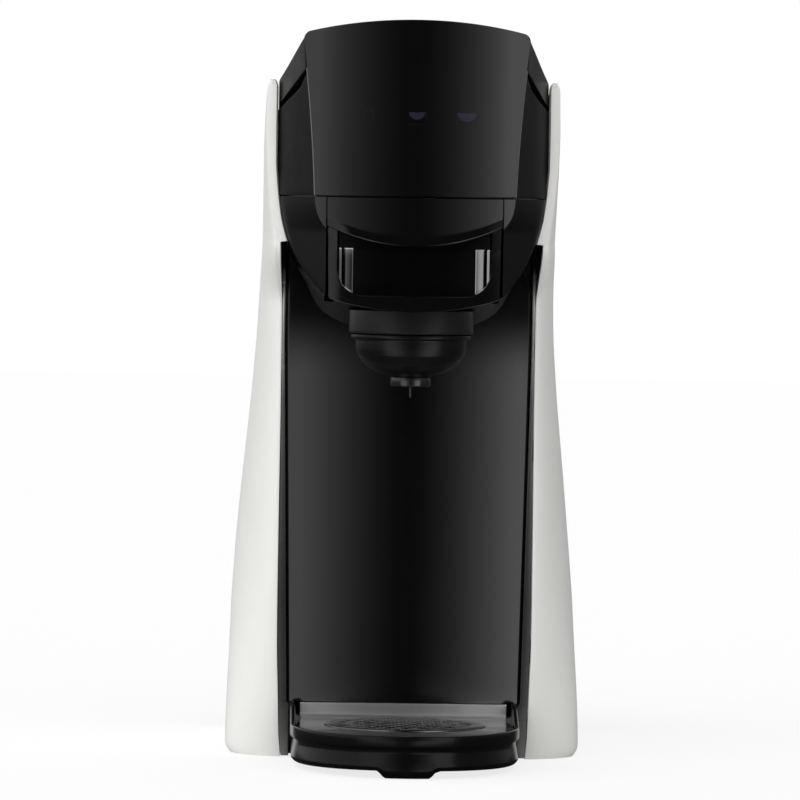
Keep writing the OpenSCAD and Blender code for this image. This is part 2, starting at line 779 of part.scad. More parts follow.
// The tray seen from above: a half ellipse in front of two straight sides, drawn in by inset.
module tray_plan(inset, rear = tray_rear) {
    a = tray_w / 2 - inset;
    start = column_y - 39;
    b = start - (front_y + 3) - inset;
    polygon(concat([[a, rear], [-a, rear]],
        [for (t = [180:6:360]) [a * cos(t), start + b * sin(t)]]));
}

module drip_tray() {
    color("black") difference() {
        union() {
            translate([0, 0, 12.4]) linear_extrude(rim_z - 12.4) tray_plan(0);
            translate([0, 0, tray_z]) linear_extrude(9.5) tray_plan(0.8);
            both_sides() along_x(3.6, tray_w / 2 - 1.8)
                polygon([[tray_rear - 42, 14], [tray_rear, 14], [tray_rear, rail_z], [tray_rear - 10, rail_z - 0.4],
                    [tray_rear - 42, rim_z]]);
            along_y(front_y, front_y + 24) polygon([[-7.1, 0], [7.1, 0], [9.3, 2.4], [11.8, tray_z + 1],
                [-11.8, tray_z + 1], [-9.3, 2.4]]);
            span([-40, tray_rear - 1, chassis_z + 0.3], [40, tray_rear + 28, 14]);
        }
        translate([0, 0, plate_z - seat]) linear_extrude(20) tray_plan(tray_t - 1.2, tray_rear + 1);
        difference() {
            translate([0, 0, tray_z + 2.5]) linear_extrude(20) tray_plan(tray_t + 1, tray_rear - 3);
            for (a = [45:90:315]) translate([0, grille_y, 0]) rotate(a) translate([grille_d / 2 - 3, 0, 0])
                cylinder(r = 3, h = plate_z - seat);
        }
    }
}

module cup_plate() {
    rear = tray_rear - 0.2;
    color("silver") difference() {
        union() {
            translate([0, 0, plate_z]) linear_extrude(1.2) tray_plan(tray_t - 0.9, rear);
            span([-44, rear - 1.2, plate_z], [44, rear, rail_z - 0.8]);
        }
        translate([0, grille_y, 0]) cylinder(d = grille_d + 0.6, h = 60, $fn = 120);
        both_sides() span([tray_w / 2 - 3.8, tray_rear - 46, plate_z - 5], [tray_w / 2 + 5, tray_rear + 5, 60]);
    }
}

module grille() {
    pitch = 7.2;
    color("dimgray") translate([0, grille_y, plate_z]) difference() {
        cylinder(d = grille_d, h = 1.6, $fn = 120);
        for (ring = [0:4]) let (r = ring * pitch * 0.92, count = ring == 0 ? 1 : ring * 6)
            for (i = [0:count - 1]) rotate(i * 360 / count) translate([r, 0, -1])
                cylinder(d = grille_hole_d, h = 5, $fn = 24);
    }
}

// ---------------------------------------------------------------- water tank

tank_z = 24;
tank_y0 = back_y + 3;
tank_y1 = rear_y;
lid_z = tank_rim_z + 0.3;
hinge_z = lid_z + 3.5;
hinge_y = rear_y - 3.6;
corner = 14;

// A rounded box between two depths, drawn in by inset.
module tank_box(z0, z1, inset) {
    r = corner - inset;
    linear_extrude_at(z0, z1) union() {
        for (sx = [-1, 1], y = [tank_y0 + corner, tank_y1 - corner]) translate([sx * (tank_w / 2 - corner), y])
            circle(r = r);
        translate([-tank_w / 2 + corner, tank_y0 + inset]) square([tank_w - 2 * corner, tank_y1 - tank_y0 - 2 * inset]);
        translate([-tank_w / 2 + inset, tank_y0 + corner]) square([tank_w - 2 * inset, tank_y1 - tank_y0 - 2 * corner]);
    }
}

module linear_extrude_at(z0, z1) {
    translate([0, 0, z0]) linear_extrude(z1 - z0) children();
}

valve_y = back_y + 24;

module water_tank() {
    color([0.3, 0.32, 0.35, 0.6]) union() {
        difference() {
            tank_box(tank_z, tank_rim_z, 0);
            tank_box(tank_z + tank_t, tank_rim_z + 1, tank_t);
            translate([0, valve_y, 0]) cylinder(r = 5, h = 60);
        }
        both_sides() difference() {
            span([26, hinge_y - 3.5, tank_rim_z - 8], [30, hinge_y + 3.5, hinge_z + 3.4]);
            rod_x(28, hinge_y, hinge_z, 1.55, 10);
        }
    }
}

module tank_lid() {
    color("black") difference() {
        union() {
            tank_box(lid_z, lid_z + 3, 0);
            both_sides() rod_x(20, hinge_y, hinge_z, 3, 11);
        }
        both_sides() span([25.7, hinge_y - 7, lid_z - 1], [30.3, hinge_y + 8, lid_z + 20]);
        both_sides() rod_x(20, hinge_y, hinge_z, 1.5 + run, 14);
        span([-60, hinge_y + 0.5, lid_z - 1], [60, rear_y + 1, lid_z + 3.2]);
    }
}

module lid_pins() {
    color("silver") both_sides() rod_x(23, hinge_y, hinge_z, 1.5, 14);
}

module tank_dock() {
    color("black") difference() {
        tank_box(chassis_z, tank_z - seat, 1);
        translate([0, valve_y, chassis_z + 8]) cylinder(r = 9, h = 30);
        rod_y(0, back_y - 1, 16, 3.2, 12);
        rod_y(34, back_y - 1, 14, 5.5, big);
    }
}

module dock_seal() {
    color("dimgray") translate([0, valve_y, chassis_z + 8]) difference() {
        cylinder(r = 8.6, h = tank_z - seat - chassis_z - 8);
        translate([0, 0, 3]) cylinder(r = 5.4, h = 30);
    }
}

module tank_valve() {
    color("silver") translate([0, valve_y, tank_z]) union() {
        translate([0, 0, tank_t + 0.2]) cylinder(r = 8, h = 3);
        translate([0, 0, -4]) cylinder(r = 4.6, h = 8);
    }
}

// ---------------------------------------------------------------- pump, heater and hoses

// The pump and its hose loop share what the bay between the flanges and the flow meter leaves free.
pump_front = 55;
pump_rear = 12;
pump_share = 0.674;
pump_free = meter_y - 3 - pump_rear - flange_y - pump_front;
pump_y = flange_y + pump_front + pump_share * pump_free;
pump_z = 34;

module pump() {
    color("goldenrod") union() {
        rod_y(0, pump_y - 28, pump_z, 17, 40);
        rod_y(0, pump_y - 40, pump_z, 9, 12);
        rod_y(0, pump_y + 12, pump_z, 12, 16);
    }
}

module pump_mounts() {
    color("dimgray") for (y = [pump_y - 24, pump_y + 4]) difference() {
        span([-14, y, chassis_z], [14, y + 8, pump_z - 6]);
        rod_y(0, y - 1, pump_z, 17.1, 12);
    }
}

module thermoblock() {
    color("lightgray") union() {
        span([-28, block_y, shelf_z + chassis_t], [28, block_y + 42, shelf_z + 50]);
        for (y = [2:8:38]) span([-31, block_y + y, shelf_z + 8], [31, block_y + y + 2, shelf_z + 46]);
    }
}

module flow_meter() {
    color("white") translate([-32, meter_y, chassis_z]) union() {
        cylinder(r = 11, h = 16);
        translate([0, 0, 15]) cylinder(r = 8, h = 6);
    }
}

module control_board() {
    inner = chassis_w / 2 - chassis_t;
    start = flange_y + 12;
    color("green") union() {
        span([inner - 6.6, start, 60], [inner - 5, start + 58, 140]);
        for (y = [4, 52], z = [66, 134]) rod_x(inner - 2.5, start + y, z, 2.5, 5);
        span([inner - 22, start + 10, 96], [inner - 6.6, start + 32, 124]);
        span([inner - 16, start + 42, 78], [inner - 6.6, start + 52, 90]);
    }
}

module suction_hose() {
    color("ivory") hose([[0, back_y + 9, 16], [0, back_y - 12, 16], [-6, meter_y, 16], [-20.7, meter_y, 16]], 3);
}

module pressure_hose() {
    color("ivory") hose([[0, pump_y - 40.2, pump_z], [0, pump_y - 52, pump_z], [-30, pump_y - 52, 60],
        [-38, block_y - 22, 120], [-30, block_y - 22, 176], [-18, block_y - 16, 176],
        [-18, block_y - seat, 176]], 3);
}

module brew_hose() {
    color("ivory") hose([[0, spout_y + 4.7, 272], [0, spout_y + 24, 271.6], [0, pivot_y - 28, 262], [0, pivot_y - 4, 249],
        [0, pivot_y + 26, 240], [0, block_y - 8, 190], [0, block_y - seat, 190]], 2);
}

module cord_gland() {
    color("dimgray") rotate_extrude_y(34, 14) polygon([[0, back_y - 8], [5.2, back_y - 8], [5.2, rear_y - 1],
        [7.5, rear_y - 1], [7.5, rear_y - 0.4], [4.5, rear_y], [0, rear_y]]);
}

// A turned piece whose axis runs along Y; its outline is (radius, depth).
module rotate_extrude_y(x, z) {
    translate([x, 0, z]) rotate([-90, 0, 0]) rotate_extrude() children();
}

left_shell();
right_shell();
left_trim();
right_trim();
column_cover();
base_plate();
feet();
chassis();
rear_cover();
top_cover();
upper_housing();
lower_housing();
front_panel();
touch_board();
lever();
lever_shaft();
lever_cams();
brew_frame();
guide_posts();
brew_yoke();
yoke_pins();
brew_piston();
piston_seal();
feed_tube();
drawer_front();
handle_plate();
drawer_carriage();
capsule_cup();
spout_collar();
spout_bowl();
nozzle();
outlet_pin();
drip_tray();
cup_plate();
grille();
water_tank();
tank_lid();
lid_pins();
tank_dock();
tank_valve();
dock_seal();
pump();
pump_mounts();
thermoblock();
flow_meter();
control_board();
suction_hose();
pressure_hose();
brew_hose();
cord_gland();
base_screws();
cover_screws();
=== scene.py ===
"""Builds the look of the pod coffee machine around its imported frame.

Sizes are millimetres in the frame's own axes: +Z is up and the front faces -Y.
Each sub-assembly is a class with its sizes as fields; build() makes its meshes and
dress() gives them their finish and the body they ride on.
"""

import json
import logging
import math
from collections.abc import Callable, Iterator
from contextlib import contextmanager
from dataclasses import dataclass, field, replace
from enum import Enum
from typing import ClassVar

import bmesh
import bpy
import numpy as np
from mathutils import Matrix, Vector
from numpy.typing import NDArray

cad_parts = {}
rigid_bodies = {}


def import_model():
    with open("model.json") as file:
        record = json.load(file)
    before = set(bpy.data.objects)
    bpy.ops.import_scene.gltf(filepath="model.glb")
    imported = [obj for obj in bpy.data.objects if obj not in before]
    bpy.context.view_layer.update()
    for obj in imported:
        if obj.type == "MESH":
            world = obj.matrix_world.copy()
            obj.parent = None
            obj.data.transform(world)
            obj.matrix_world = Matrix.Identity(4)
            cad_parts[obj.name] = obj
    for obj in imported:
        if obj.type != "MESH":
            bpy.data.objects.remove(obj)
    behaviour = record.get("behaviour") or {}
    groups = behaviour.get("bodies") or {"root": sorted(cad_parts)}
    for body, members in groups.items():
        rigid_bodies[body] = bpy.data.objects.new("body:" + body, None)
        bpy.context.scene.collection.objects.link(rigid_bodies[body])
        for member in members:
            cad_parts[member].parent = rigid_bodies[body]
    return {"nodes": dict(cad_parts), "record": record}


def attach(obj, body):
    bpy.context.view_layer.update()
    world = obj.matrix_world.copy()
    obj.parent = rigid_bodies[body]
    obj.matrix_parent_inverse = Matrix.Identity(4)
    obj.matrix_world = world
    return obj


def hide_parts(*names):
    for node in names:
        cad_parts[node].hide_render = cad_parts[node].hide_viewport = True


LOG = logging.getLogger("pod_machine")
MM = 0.001  # a millimetre in metres
MERGE = 2e-6  # points nearer than this, in metres, become one
SLIVER = 1e-7  # edges shorter than this, in metres, are taken out
FLAT = math.radians(0.6)  # faces that meet at less than this are one face
SHARP = math.radians(38)  # an edge from this angle on is shaded sharp
FADE_SPAN = 0.32  # height in metres that a finish's fade covers
QUARTER = math.pi / 2
SIDES = (("right", 1.0), ("left", -1.0))
Array = NDArray[np.float64]
Object = bpy.types.Object
Material = bpy.types.Material
Socket = bpy.types.NodeSocket
Colour = tuple[float, float, float]
Profile = list[tuple[float, float]]
Stations = tuple[float, ...]


# ------------------------------------------------------------------ small maths


def smooth(t: Array | float) -> Array:
    """Soft step: 0 below 0, 1 above 1, and 3t^2 - 2t^3 between."""
    u = np.clip(np.asarray(t, float), 0.0, 1.0)
    return u * u * (3.0 - 2.0 * u)


def dense_ends(count: int) -> Array:
    """Numbers from -1 to 1 that lie closer together near both ends: sin of an even angle."""
    return np.sin(np.linspace(-QUARTER, QUARTER, count))


def stack(x: Array, y: Array, z: Array) -> Array:
    """One array of points from three arrays of coordinates."""
    return np.stack(np.broadcast_arrays(x, y, z), axis=-1).astype(float)


# ------------------------------------------------------------------ meshes


@dataclass
class Patch:
    """A grid of points, rows by columns by 3, in millimetres.

    wrap closes the columns on themselves, caps fills the first and last row with one
    face each, and flip turns the faces over.
    """

    points: Array
    wrap: bool = False
    caps: bool = False
    flip: bool = False

    def faces(self, start: int) -> list[list[int]]:
        """Faces of the grid: corner (r, c) joins (r, c+1), (r+1, c+1) and (r+1, c).

        Args:
            start: number of the patch's first vertex in the mesh.
        Returns:
            Vertex numbers, one list for each face.
        """
        rows, cols = self.points.shape[:2]
        r = np.arange(rows - 1)[:, None]
        c = np.arange(cols if self.wrap else cols - 1)[None, :]
        n = (c + 1) % cols
        quads = np.stack([r * cols + c, r * cols + n, (r + 1) * cols + n, (r + 1) * cols + c], -1)
        quads = quads.reshape(-1, 4) + start
        out = (quads[:, ::-1] if self.flip else quads).tolist()
        if self.caps:
            first = (np.arange(cols) + start).tolist()
            last = (np.arange(cols) + start + (rows - 1) * cols).tolist()
            out += [first, last[::-1]] if self.flip else [first[::-1], last]
        return out


@contextmanager
def editing(mesh: bpy.types.Mesh) -> Iterator[bmesh.types.BMesh]:
    """Opens a mesh for bmesh operators and writes the result back."""
    edit = bmesh.new()
    edit.from_mesh(mesh)
    yield edit
    edit.to_mesh(mesh)
    edit.free()


def new_object(name: str, data: bpy.types.ID) -> Object:
    """An object of this name around its data, in the scene."""
    obj = bpy.data.objects.new(name, data)
    bpy.context.scene.collection.objects.link(obj)
    return obj


def make_object(name: str, patches: list[Patch], outward: bool = False) -> Object:
    """Puts patches into one mesh, joins points that meet, and shades it smooth.

    Args:
        name: the piece's name.
        patches: grids in millimetres.
        outward: True for closed solids, whose faces are then turned outwards.
    Returns:
        The new object, at the origin.
    """
    points, faces, start = [], [], 0
    for patch in patches:
        faces += patch.faces(start)
        flat = patch.points.reshape(-1, 3)
        points.append(flat)
        start += len(flat)
    mesh = bpy.data.meshes.new(name)
    mesh.from_pydata((np.concatenate(points) * MM).tolist(), [], faces)
    with editing(mesh) as edit:
        bmesh.ops.remove_doubles(edit, verts=edit.verts, dist=MERGE)
        bmesh.ops.dissolve_degenerate(edit, edges=edit.edges, dist=SLIVER)
        if outward:
            bmesh.ops.recalc_face_normals(edit, faces=edit.faces)
    mesh.shade_smooth()
    return new_object(name, mesh)


def finish_mesh(obj: Object, wall: float = 0.0, edge: float = 0.0, segments: int = 3,
                corner: float = 32.0, recalc: bool = False) -> Object:
    """Gives a sheet its wall and rounds its sharp edges, and keeps the result as the mesh.

    Args:
        obj: the piece.
        wall: thickness behind the faces, or 0.
        edge: radius of the rounding, or 0.
        segments: faces across the rounding.
        corner: angle from which an edge counts as sharp, in degrees.
        recalc: True turns the faces of the finished solid outwards.
    Returns:
        The same object.
    """
    if wall:
        solid = obj.modifiers.new("wall", "SOLIDIFY")
        solid.thickness, solid.offset = wall * MM, -1.0
        solid.use_even_offset = True
    if edge:
        bevel = obj.modifiers.new("edge", "BEVEL")
        bevel.width, bevel.segments = edge * MM, segments
        bevel.limit_method, bevel.angle_limit = "ANGLE", math.radians(corner)
        bevel.miter_outer = "MITER_ARC"
        bevel.harden_normals = False
    if wall or edge:
        graph = bpy.context.evaluated_depsgraph_get()
        mesh = bpy.data.meshes.new_from_object(obj.evaluated_get(graph))
        obj.modifiers.clear()
        old, obj.data = obj.data, mesh
        bpy.data.meshes.remove(old)
        mesh.name = obj.name
    if recalc:
        with editing(obj.data) as edit:
            bmesh.ops.recalc_face_normals(edit, faces=edit.faces)
    obj.data.shade_smooth()
    obj.data.set_sharp_from_angle(angle=SHARP)
    return obj


def lathe(profile: Profile, axis_y: float, sides: int = 96) -> Patch:
    """A turned shape: each (radius, height) point becomes a circle about an upright axis on x 0."""
    rz = np.array(profile, float)
    a = np.linspace(0, 2 * math.pi, sides, endpoint=False)[None, :]
    y = axis_y + rz[:, :1] * np.sin(a)
    return Patch(stack(rz[:, :1] * np.cos(a), y, rz[:, 1:2] + 0 * a), wrap=True)


def rounded_profile(points: Profile, radius: float, steps: int = 5) -> Profile:
    """Rounds each inner corner of an open profile with a short curve.

    The curve is the quadratic one between the points that lie radius before and after the corner.

    Args:
        points: corners as (radius, height).
        radius: reach of the rounding along both runs.
        steps: points on each curve.
    Returns:
        The profile's points.
    """
    p = [np.array(q, float) for q in points]
    out = [p[0]]
    for before, at, after in zip(p, p[1:], p[2:]):
        a, b = before - at, after - at
        ra, rb = (min(radius, run * 0.45) / max(run, 1e-9) for run in map(np.linalg.norm, (a, b)))
        t = np.linspace(0, 1, steps)[:, None]
        out += list((at + a * ra) * (1 - t) ** 2 + at * 2 * t * (1 - t) + (at + b * rb) * t ** 2)
    return [tuple(q) for q in [*out, p[-1]]]


def refined(node: str, edge: float, name: str = "",
            tuck: Callable[[Array], Array] | None = None) -> Object:
    """A copy of a frame node with its flat faces joined and its sharp edges rounded.

    Args:
        node: the frame node that is copied.
        edge: radius of the rounding.
        name: the piece's name, or nothing for the node's name with _piece.
        tuck: moves the copy's points, in millimetres, so that it lies under a fitted skin.
    Returns:
        The new object.
    """
    mesh = FRAME["nodes"][node].data.copy()
    with editing(mesh) as edit:
        bmesh.ops.remove_doubles(edit, verts=edit.verts, dist=MERGE)
        bmesh.ops.dissolve_limit(edit, angle_limit=FLAT, verts=edit.verts, edges=edit.edges)
    mesh.materials.clear()
    if tuck:
        points = np.empty(len(mesh.vertices) * 3)
        mesh.vertices.foreach_get("co", points)
        mesh.vertices.foreach_set("co", (tuck(points.reshape(-1, 3) / MM) * MM).ravel())
    return finish_mesh(new_object(name or node + "_piece", mesh), edge=edge, segments=2)


# ------------------------------------------------------------------ node groups


class Nodes:
    """Short names for adding and joining shader nodes in one tree."""

    def __init__(self, tree: bpy.types.NodeTree) -> None:
        """Keeps the tree."""
        self.tree = tree

    def add(self, kind: str, **sockets: object) -> bpy.types.Node:
        """Adds a node; a keyword sets the input of that name, or links an output to it."""
        node = self.tree.nodes.new(kind)
        for key, value in sockets.items():
            self.put(node, key.replace("_", " "), value)
        return node

    def put(self, node: bpy.types.Node, key: str | int, value: object) -> None:
        """Sets or links one input of a node."""
        if isinstance(value, bpy.types.NodeSocket):
            self.tree.links.new(value, node.inputs[key])
        else:
            node.inputs[key].default_value = value

    def math(self, operation: str, a: object, b: object = 0.0, clamp: bool = False) -> Socket:
        """A Math node's result."""
        node = self.tree.nodes.new("ShaderNodeMath")
        node.operation, node.use_clamp = operation, clamp
        self.put(node, 0, a)
        self.put(node, 1, b)
        return node.outputs[0]

    def times(self, a: object, b: object) -> Socket:
        """The product of a and b."""
        return self.math("MULTIPLY", a, b)

    def plus(self, a: object, b: object) -> Socket:
        """The sum of a and b."""
        return self.math("ADD", a, b)

    def less(self, a: object, b: object) -> Socket:
        """a without b."""
        return self.math("SUBTRACT", a, b)

    def between(self, share: Socket, a: Socket, b: Socket) -> Socket:
        """a where share is 0 and b where it is 1."""
        return self.plus(self.times(a, self.less(1.0, share)), self.times(b, share))

    def place(self) -> Socket:
        """Object coordinates."""
        return self.add("ShaderNodeTexCoord").outputs["Object"]

    def parts(self, vector: Socket) -> list[Socket]:
        """The x, y and z of a vector."""
        return list(self.add("ShaderNodeSeparateXYZ", Vector=vector).outputs)

    def noise(self, place: Socket, scale: object, detail: float, rough: float = 0.5) -> Socket:
        """Noise between 0 and 1."""
        return self.add("ShaderNodeTexNoise", Vector=place, Scale=scale, Detail=detail,
                        Roughness=rough).outputs[0]

    def group(self, name: str, **sockets: object) -> Socket:
        """The first output of a shared group, with its inputs set or linked."""
        node = self.add("ShaderNodeGroup")
        node.node_tree = Groups.get(name)
        for key, value in sockets.items():
            self.put(node, key, value)
        return node.outputs[0]

    def step(self, value: object, low: float, high: float) -> Socket:
        """0 below low, 1 above high, soft between."""
        node = self.tree.nodes.new("ShaderNodeMapRange")
        node.interpolation_type = "SMOOTHSTEP"
        self.put(node, "Value", value)
        node.inputs["From Min"].default_value = low
        node.inputs["From Max"].default_value = high
        return node.outputs["Result"]

    def blend(self, amount: object, a: object, b: object, kind: str = "MIX") -> Socket:
        """The colour between a and b, or another of the Mix node's kinds."""
        node = self.tree.nodes.new("ShaderNodeMix")
        node.data_type, node.blend_type = "RGBA", kind
        for key, value in ((0, amount), (6, a), (7, b)):
            self.put(node, key, value)
        return node.outputs[2]


def own_nodes(block: Material | bpy.types.World) -> Nodes:
    """Turns a material's or world's nodes on and returns their helper."""
    block.use_nodes = True
    return Nodes(block.node_tree)


def new_group(name: str, inputs: dict[str, float],
              output: str) -> tuple[Nodes, bpy.types.Node, bpy.types.Node]:
    """A shader node group; a socket called Colour is a colour and any other one a number.

    Args:
        name: the group's name.
        inputs: name and default of each input.
        output: name of its output.
    Returns:
        The tree's helper, its input node and its output node.
    """
    tree = bpy.data.node_groups.new(name, "ShaderNodeTree")
    kinds = {"Colour": "NodeSocketColor"}
    for label, default in inputs.items():
        socket = tree.interface.new_socket(label, in_out="INPUT",
                                           socket_type=kinds.get(label, "NodeSocketFloat"))
        if label not in kinds:
            socket.default_value = default
    tree.interface.new_socket(output, in_out="OUTPUT", socket_type=kinds.get(output, "NodeSocketFloat"))
    return Nodes(tree), tree.nodes.new("NodeGroupInput"), tree.nodes.new("NodeGroupOutput")


def grain_group() -> bpy.types.NodeTree:
    """Moulded grain: two sizes of noise on Object coordinates, as a height."""
    n, given, result = new_group("moulded_grain", {"Scale": 900.0, "Mix": 0.5}, "Height")
    place, scale, share = n.place(), given.outputs["Scale"], given.outputs["Mix"]
    fine = n.times(n.noise(place, scale, 3.0), share)
    wide = n.times(n.noise(place, n.times(scale, 0.07), 2.0), n.less(1.0, share))
    n.put(result, "Height", n.plus(fine, wide))
    return n.tree


def smudge_group() -> bpy.types.NodeTree:
    """Handling marks: a broad soft noise that raises the roughness in places."""
    n, given, result = new_group(
        "handling_marks", {"Base": 0.1, "Amount": 0.05, "Scale": 30.0}, "Roughness")
    mask = n.step(n.noise(n.place(), given.outputs["Scale"], 5.0, 0.6), 0.42, 0.72)
    n.put(result, "Roughness", n.plus(given.outputs["Base"], n.times(mask, given.outputs["Amount"])))
    return n.tree


def brush_group() -> bpy.types.NodeTree:
    """Brushed lines: noise drawn out along X, as a height."""
    n, given, result = new_group("brushed_lines", {"Scale": 60.0, "Stretch": 40.0}, "Height")
    x, y, z = n.parts(n.place())
    stretch = given.outputs["Stretch"]
    wide = n.add("ShaderNodeCombineXYZ", X=x, Y=n.times(y, stretch), Z=n.times(z, stretch))
    n.put(result, "Height", n.noise(wide.outputs[0], given.outputs["Scale"], 4.0))
    return n.tree


def dust_group() -> bpy.types.NodeTree:
    """Dust: fine noise on faces that look up, as a colour shift towards grey."""
    n, given, result = new_group("settled_dust", {"Colour": 0.0, "Amount": 0.02}, "Colour")
    up = n.parts(n.add("ShaderNodeNewGeometry").outputs["Normal"])[2]
    mask = n.times(n.step(up, 0.55, 1.0), n.step(n.noise(n.place(), 260.0, 4.0), 0.5, 0.75))
    amount = n.math("MULTIPLY", mask, given.outputs["Amount"], clamp=True)
    n.put(result, "Colour", n.blend(amount, given.outputs["Colour"], (0.42, 0.41, 0.4, 1.0)))
    return n.tree


class Groups:
    """The node groups that more than one finish uses."""

    made: ClassVar[dict[str, bpy.types.NodeTree]] = {}
    makers: ClassVar[dict[str, Callable[[], bpy.types.NodeTree]]] = {
        "grain": grain_group, "smudge": smudge_group, "brush": brush_group, "dust": dust_group}

    @classmethod
    def get(cls, name: str) -> bpy.types.NodeTree:
        """Builds a group the first time it is asked for."""
        if name not in cls.made:
            cls.made[name] = cls.makers[name]()
        return cls.made[name]


# ------------------------------------------------------------------ finishes


class Relief(Enum):
    """What a finish's bump is made of."""

    NONE = "none"
    GRAIN = "grain"
    BRUSH = "brush"


@dataclass(frozen=True)
class Finish:
    """One finish: colour, gloss, bump and marks, in plain Principled terms."""

    name: str
    slot: str
    colour: Colour
    roughness: float = 0.3
    metallic: float = 0.0
    specular: float = 0.5
    coat: float = 0.0
    coat_roughness: float = 0.03
    relief: Relief = Relief.GRAIN
    relief_scale: float = 900.0
    relief_depth: float = 0.02
    marks: float = 0.04
    marks_scale: float = 30.0
    mottle: float = 0.03
    dust: float = 0.03
    transmission: float = 0.0
    ior: float = 1.5
    glow: float = 0.0
    subsurface: float = 0.0
    # fade scales the colour by height; on the gunmetal trims it is painted reflection and painted shade
    fade: tuple[tuple[float, float], ...] = ()

    def material(self) -> Material:
        """The finish as a Blender material, built the first time it is asked for."""
        found = bpy.data.materials.get(self.name)
        if found:
            return found
        made = bpy.data.materials.new(self.name)
        n = own_nodes(made)
        shader = made.node_tree.nodes["Principled BSDF"]
        constants = {"Metallic": self.metallic, "Specular IOR Level": self.specular, "Coat Weight": self.coat,
                     "Coat Roughness": self.coat_roughness, "Transmission Weight": self.transmission,
                     "IOR": self.ior, "Subsurface Weight": self.subsurface}
        for key, value in constants.items():
            shader.inputs[key].default_value = value
        place = n.place()
        low = (*(c * (1 - self.mottle) for c in self.colour), 1.0)
        high = (*(min(1.0, c * (1 + self.mottle)) for c in self.colour), 1.0)
        colour = n.blend(n.noise(place, 18.0, 4.0), low, high)
        if self.dust:
            colour = n.group("dust", Colour=colour, Amount=self.dust)
        if self.fade:
            colour = n.blend(1.0, colour, self.faded(n, n.parts(place)[2]), "MULTIPLY")
        n.put(shader, "Base Color", colour)
        n.put(shader, "Roughness", n.group("smudge", Base=self.roughness, Amount=self.marks,
                                           Scale=self.marks_scale))
        if self.relief is not Relief.NONE:
            height = n.group(self.relief.value, Scale=self.relief_scale)
            bump = n.add("ShaderNodeBump", Strength=0.5, Distance=self.relief_depth * MM, Height=height)
            n.put(shader, "Normal", bump.outputs[0])
        if self.glow:
            shader.inputs["Emission Color"].default_value = (*self.colour, 1.0)
            shader.inputs["Emission Strength"].default_value = self.glow
        return made

    def faded(self, n: Nodes, up: Socket) -> Socket:
        """The colour's share at each height, straight between the fade's (height, share) stops."""
        ramp = n.add("ShaderNodeValToRGB", Fac=n.times(up, 1.0 / FADE_SPAN))
        stops = ramp.color_ramp.elements
        stops[0].position, stops[1].position = (self.fade[i][0] * MM / FADE_SPAN for i in (0, -1))
        for height, _ in self.fade[1:-1]:
            stops.new(height * MM / FADE_SPAN)
        for stop, (_, share) in zip(stops, self.fade):
            stop.color = (share, share, share, 1.0)
        return ramp.outputs[0]


def grey(level: float) -> Colour:
    """The same level in red, green and blue."""
    return level, level, level


WHITE_SATIN = Finish("satin_warm_white", "shell_white", (0.86, 0.855, 0.83), 0.42, specular=0.35,
                     relief_scale=2600.0, relief_depth=0.006, marks=0.05, mottle=0.006, dust=0.0)
PIANO_BLACK = Finish("piano_black", "gloss_black", (0.0032, 0.0032, 0.0034), 0.12, coat=1.0,
                     relief=Relief.NONE, marks=0.03, marks_scale=24.0, mottle=0.05, dust=0.006)
LEVER_BLACK = Finish("lever_black", "gloss_black", (0.0060, 0.0060, 0.0065), 0.34, specular=0.16,
                     relief_scale=3600.0, relief_depth=0.006, dust=0.015)
NECK_BLACK = Finish("neck_black", "gloss_black", (0.0020, 0.0020, 0.0021), 0.2, specular=0.25,
                    relief=Relief.NONE, mottle=0.05, dust=0.0)
# Grey metal that paints the highlight on the black panel's rounded edges; how bright it looks still follows
# the surround it reflects.
EDGE_HIGHLIGHT = Finish("painted_edge_highlight", "gloss_black", grey(0.30), 0.35, metallic=0.8, relief=Relief.NONE, dust=0.0)
SATIN_BLACK = Finish("satin_black", "satin_black", (0.010, 0.010, 0.0105), 0.46, specular=0.22,
                     relief_scale=3200.0, relief_depth=0.012, dust=0.02)
CHEEK_BLACK = Finish("cheek_black", "satin_black", (0.0050, 0.0051, 0.0062), 0.5, specular=0.075,
                     relief_scale=3600.0, relief_depth=0.01, dust=0.02)
# A black that paints shade in the head's seam, under the drawer's lip and on the lower housing's core, and
# paints the dark reflection in the middle of the drawer's chrome recess.
SHADE_AND_REFLECTION_BLACK = Finish("painted_shade_and_reflection_black", "satin_black", (0.0022, 0.0023, 0.0026), 0.3, specular=0.12,
                   relief=Relief.NONE, mottle=0.05)
TRAY_BLACK = Finish("tray_black", "satin_black", (0.0030, 0.0030, 0.0032), 0.2, specular=0.3,
                    relief_scale=2400.0, relief_depth=0.006, dust=0.012)
OUTLET_BLACK = Finish("outlet_black", "satin_black", grey(0.0035), 0.3, relief_scale=2600.0,
                      relief_depth=0.01, dust=0.0)
COLLAR_BLACK = Finish("collar_black", "satin_black", grey(0.0120), 0.36, specular=0.42,
                      relief_scale=2600.0, relief_depth=0.01, dust=0.01)
NOZZLE_DARK = Finish("nozzle_dark", "satin_black", (0.10, 0.10, 0.098), 0.18, metallic=0.9,
                     relief=Relief.NONE)
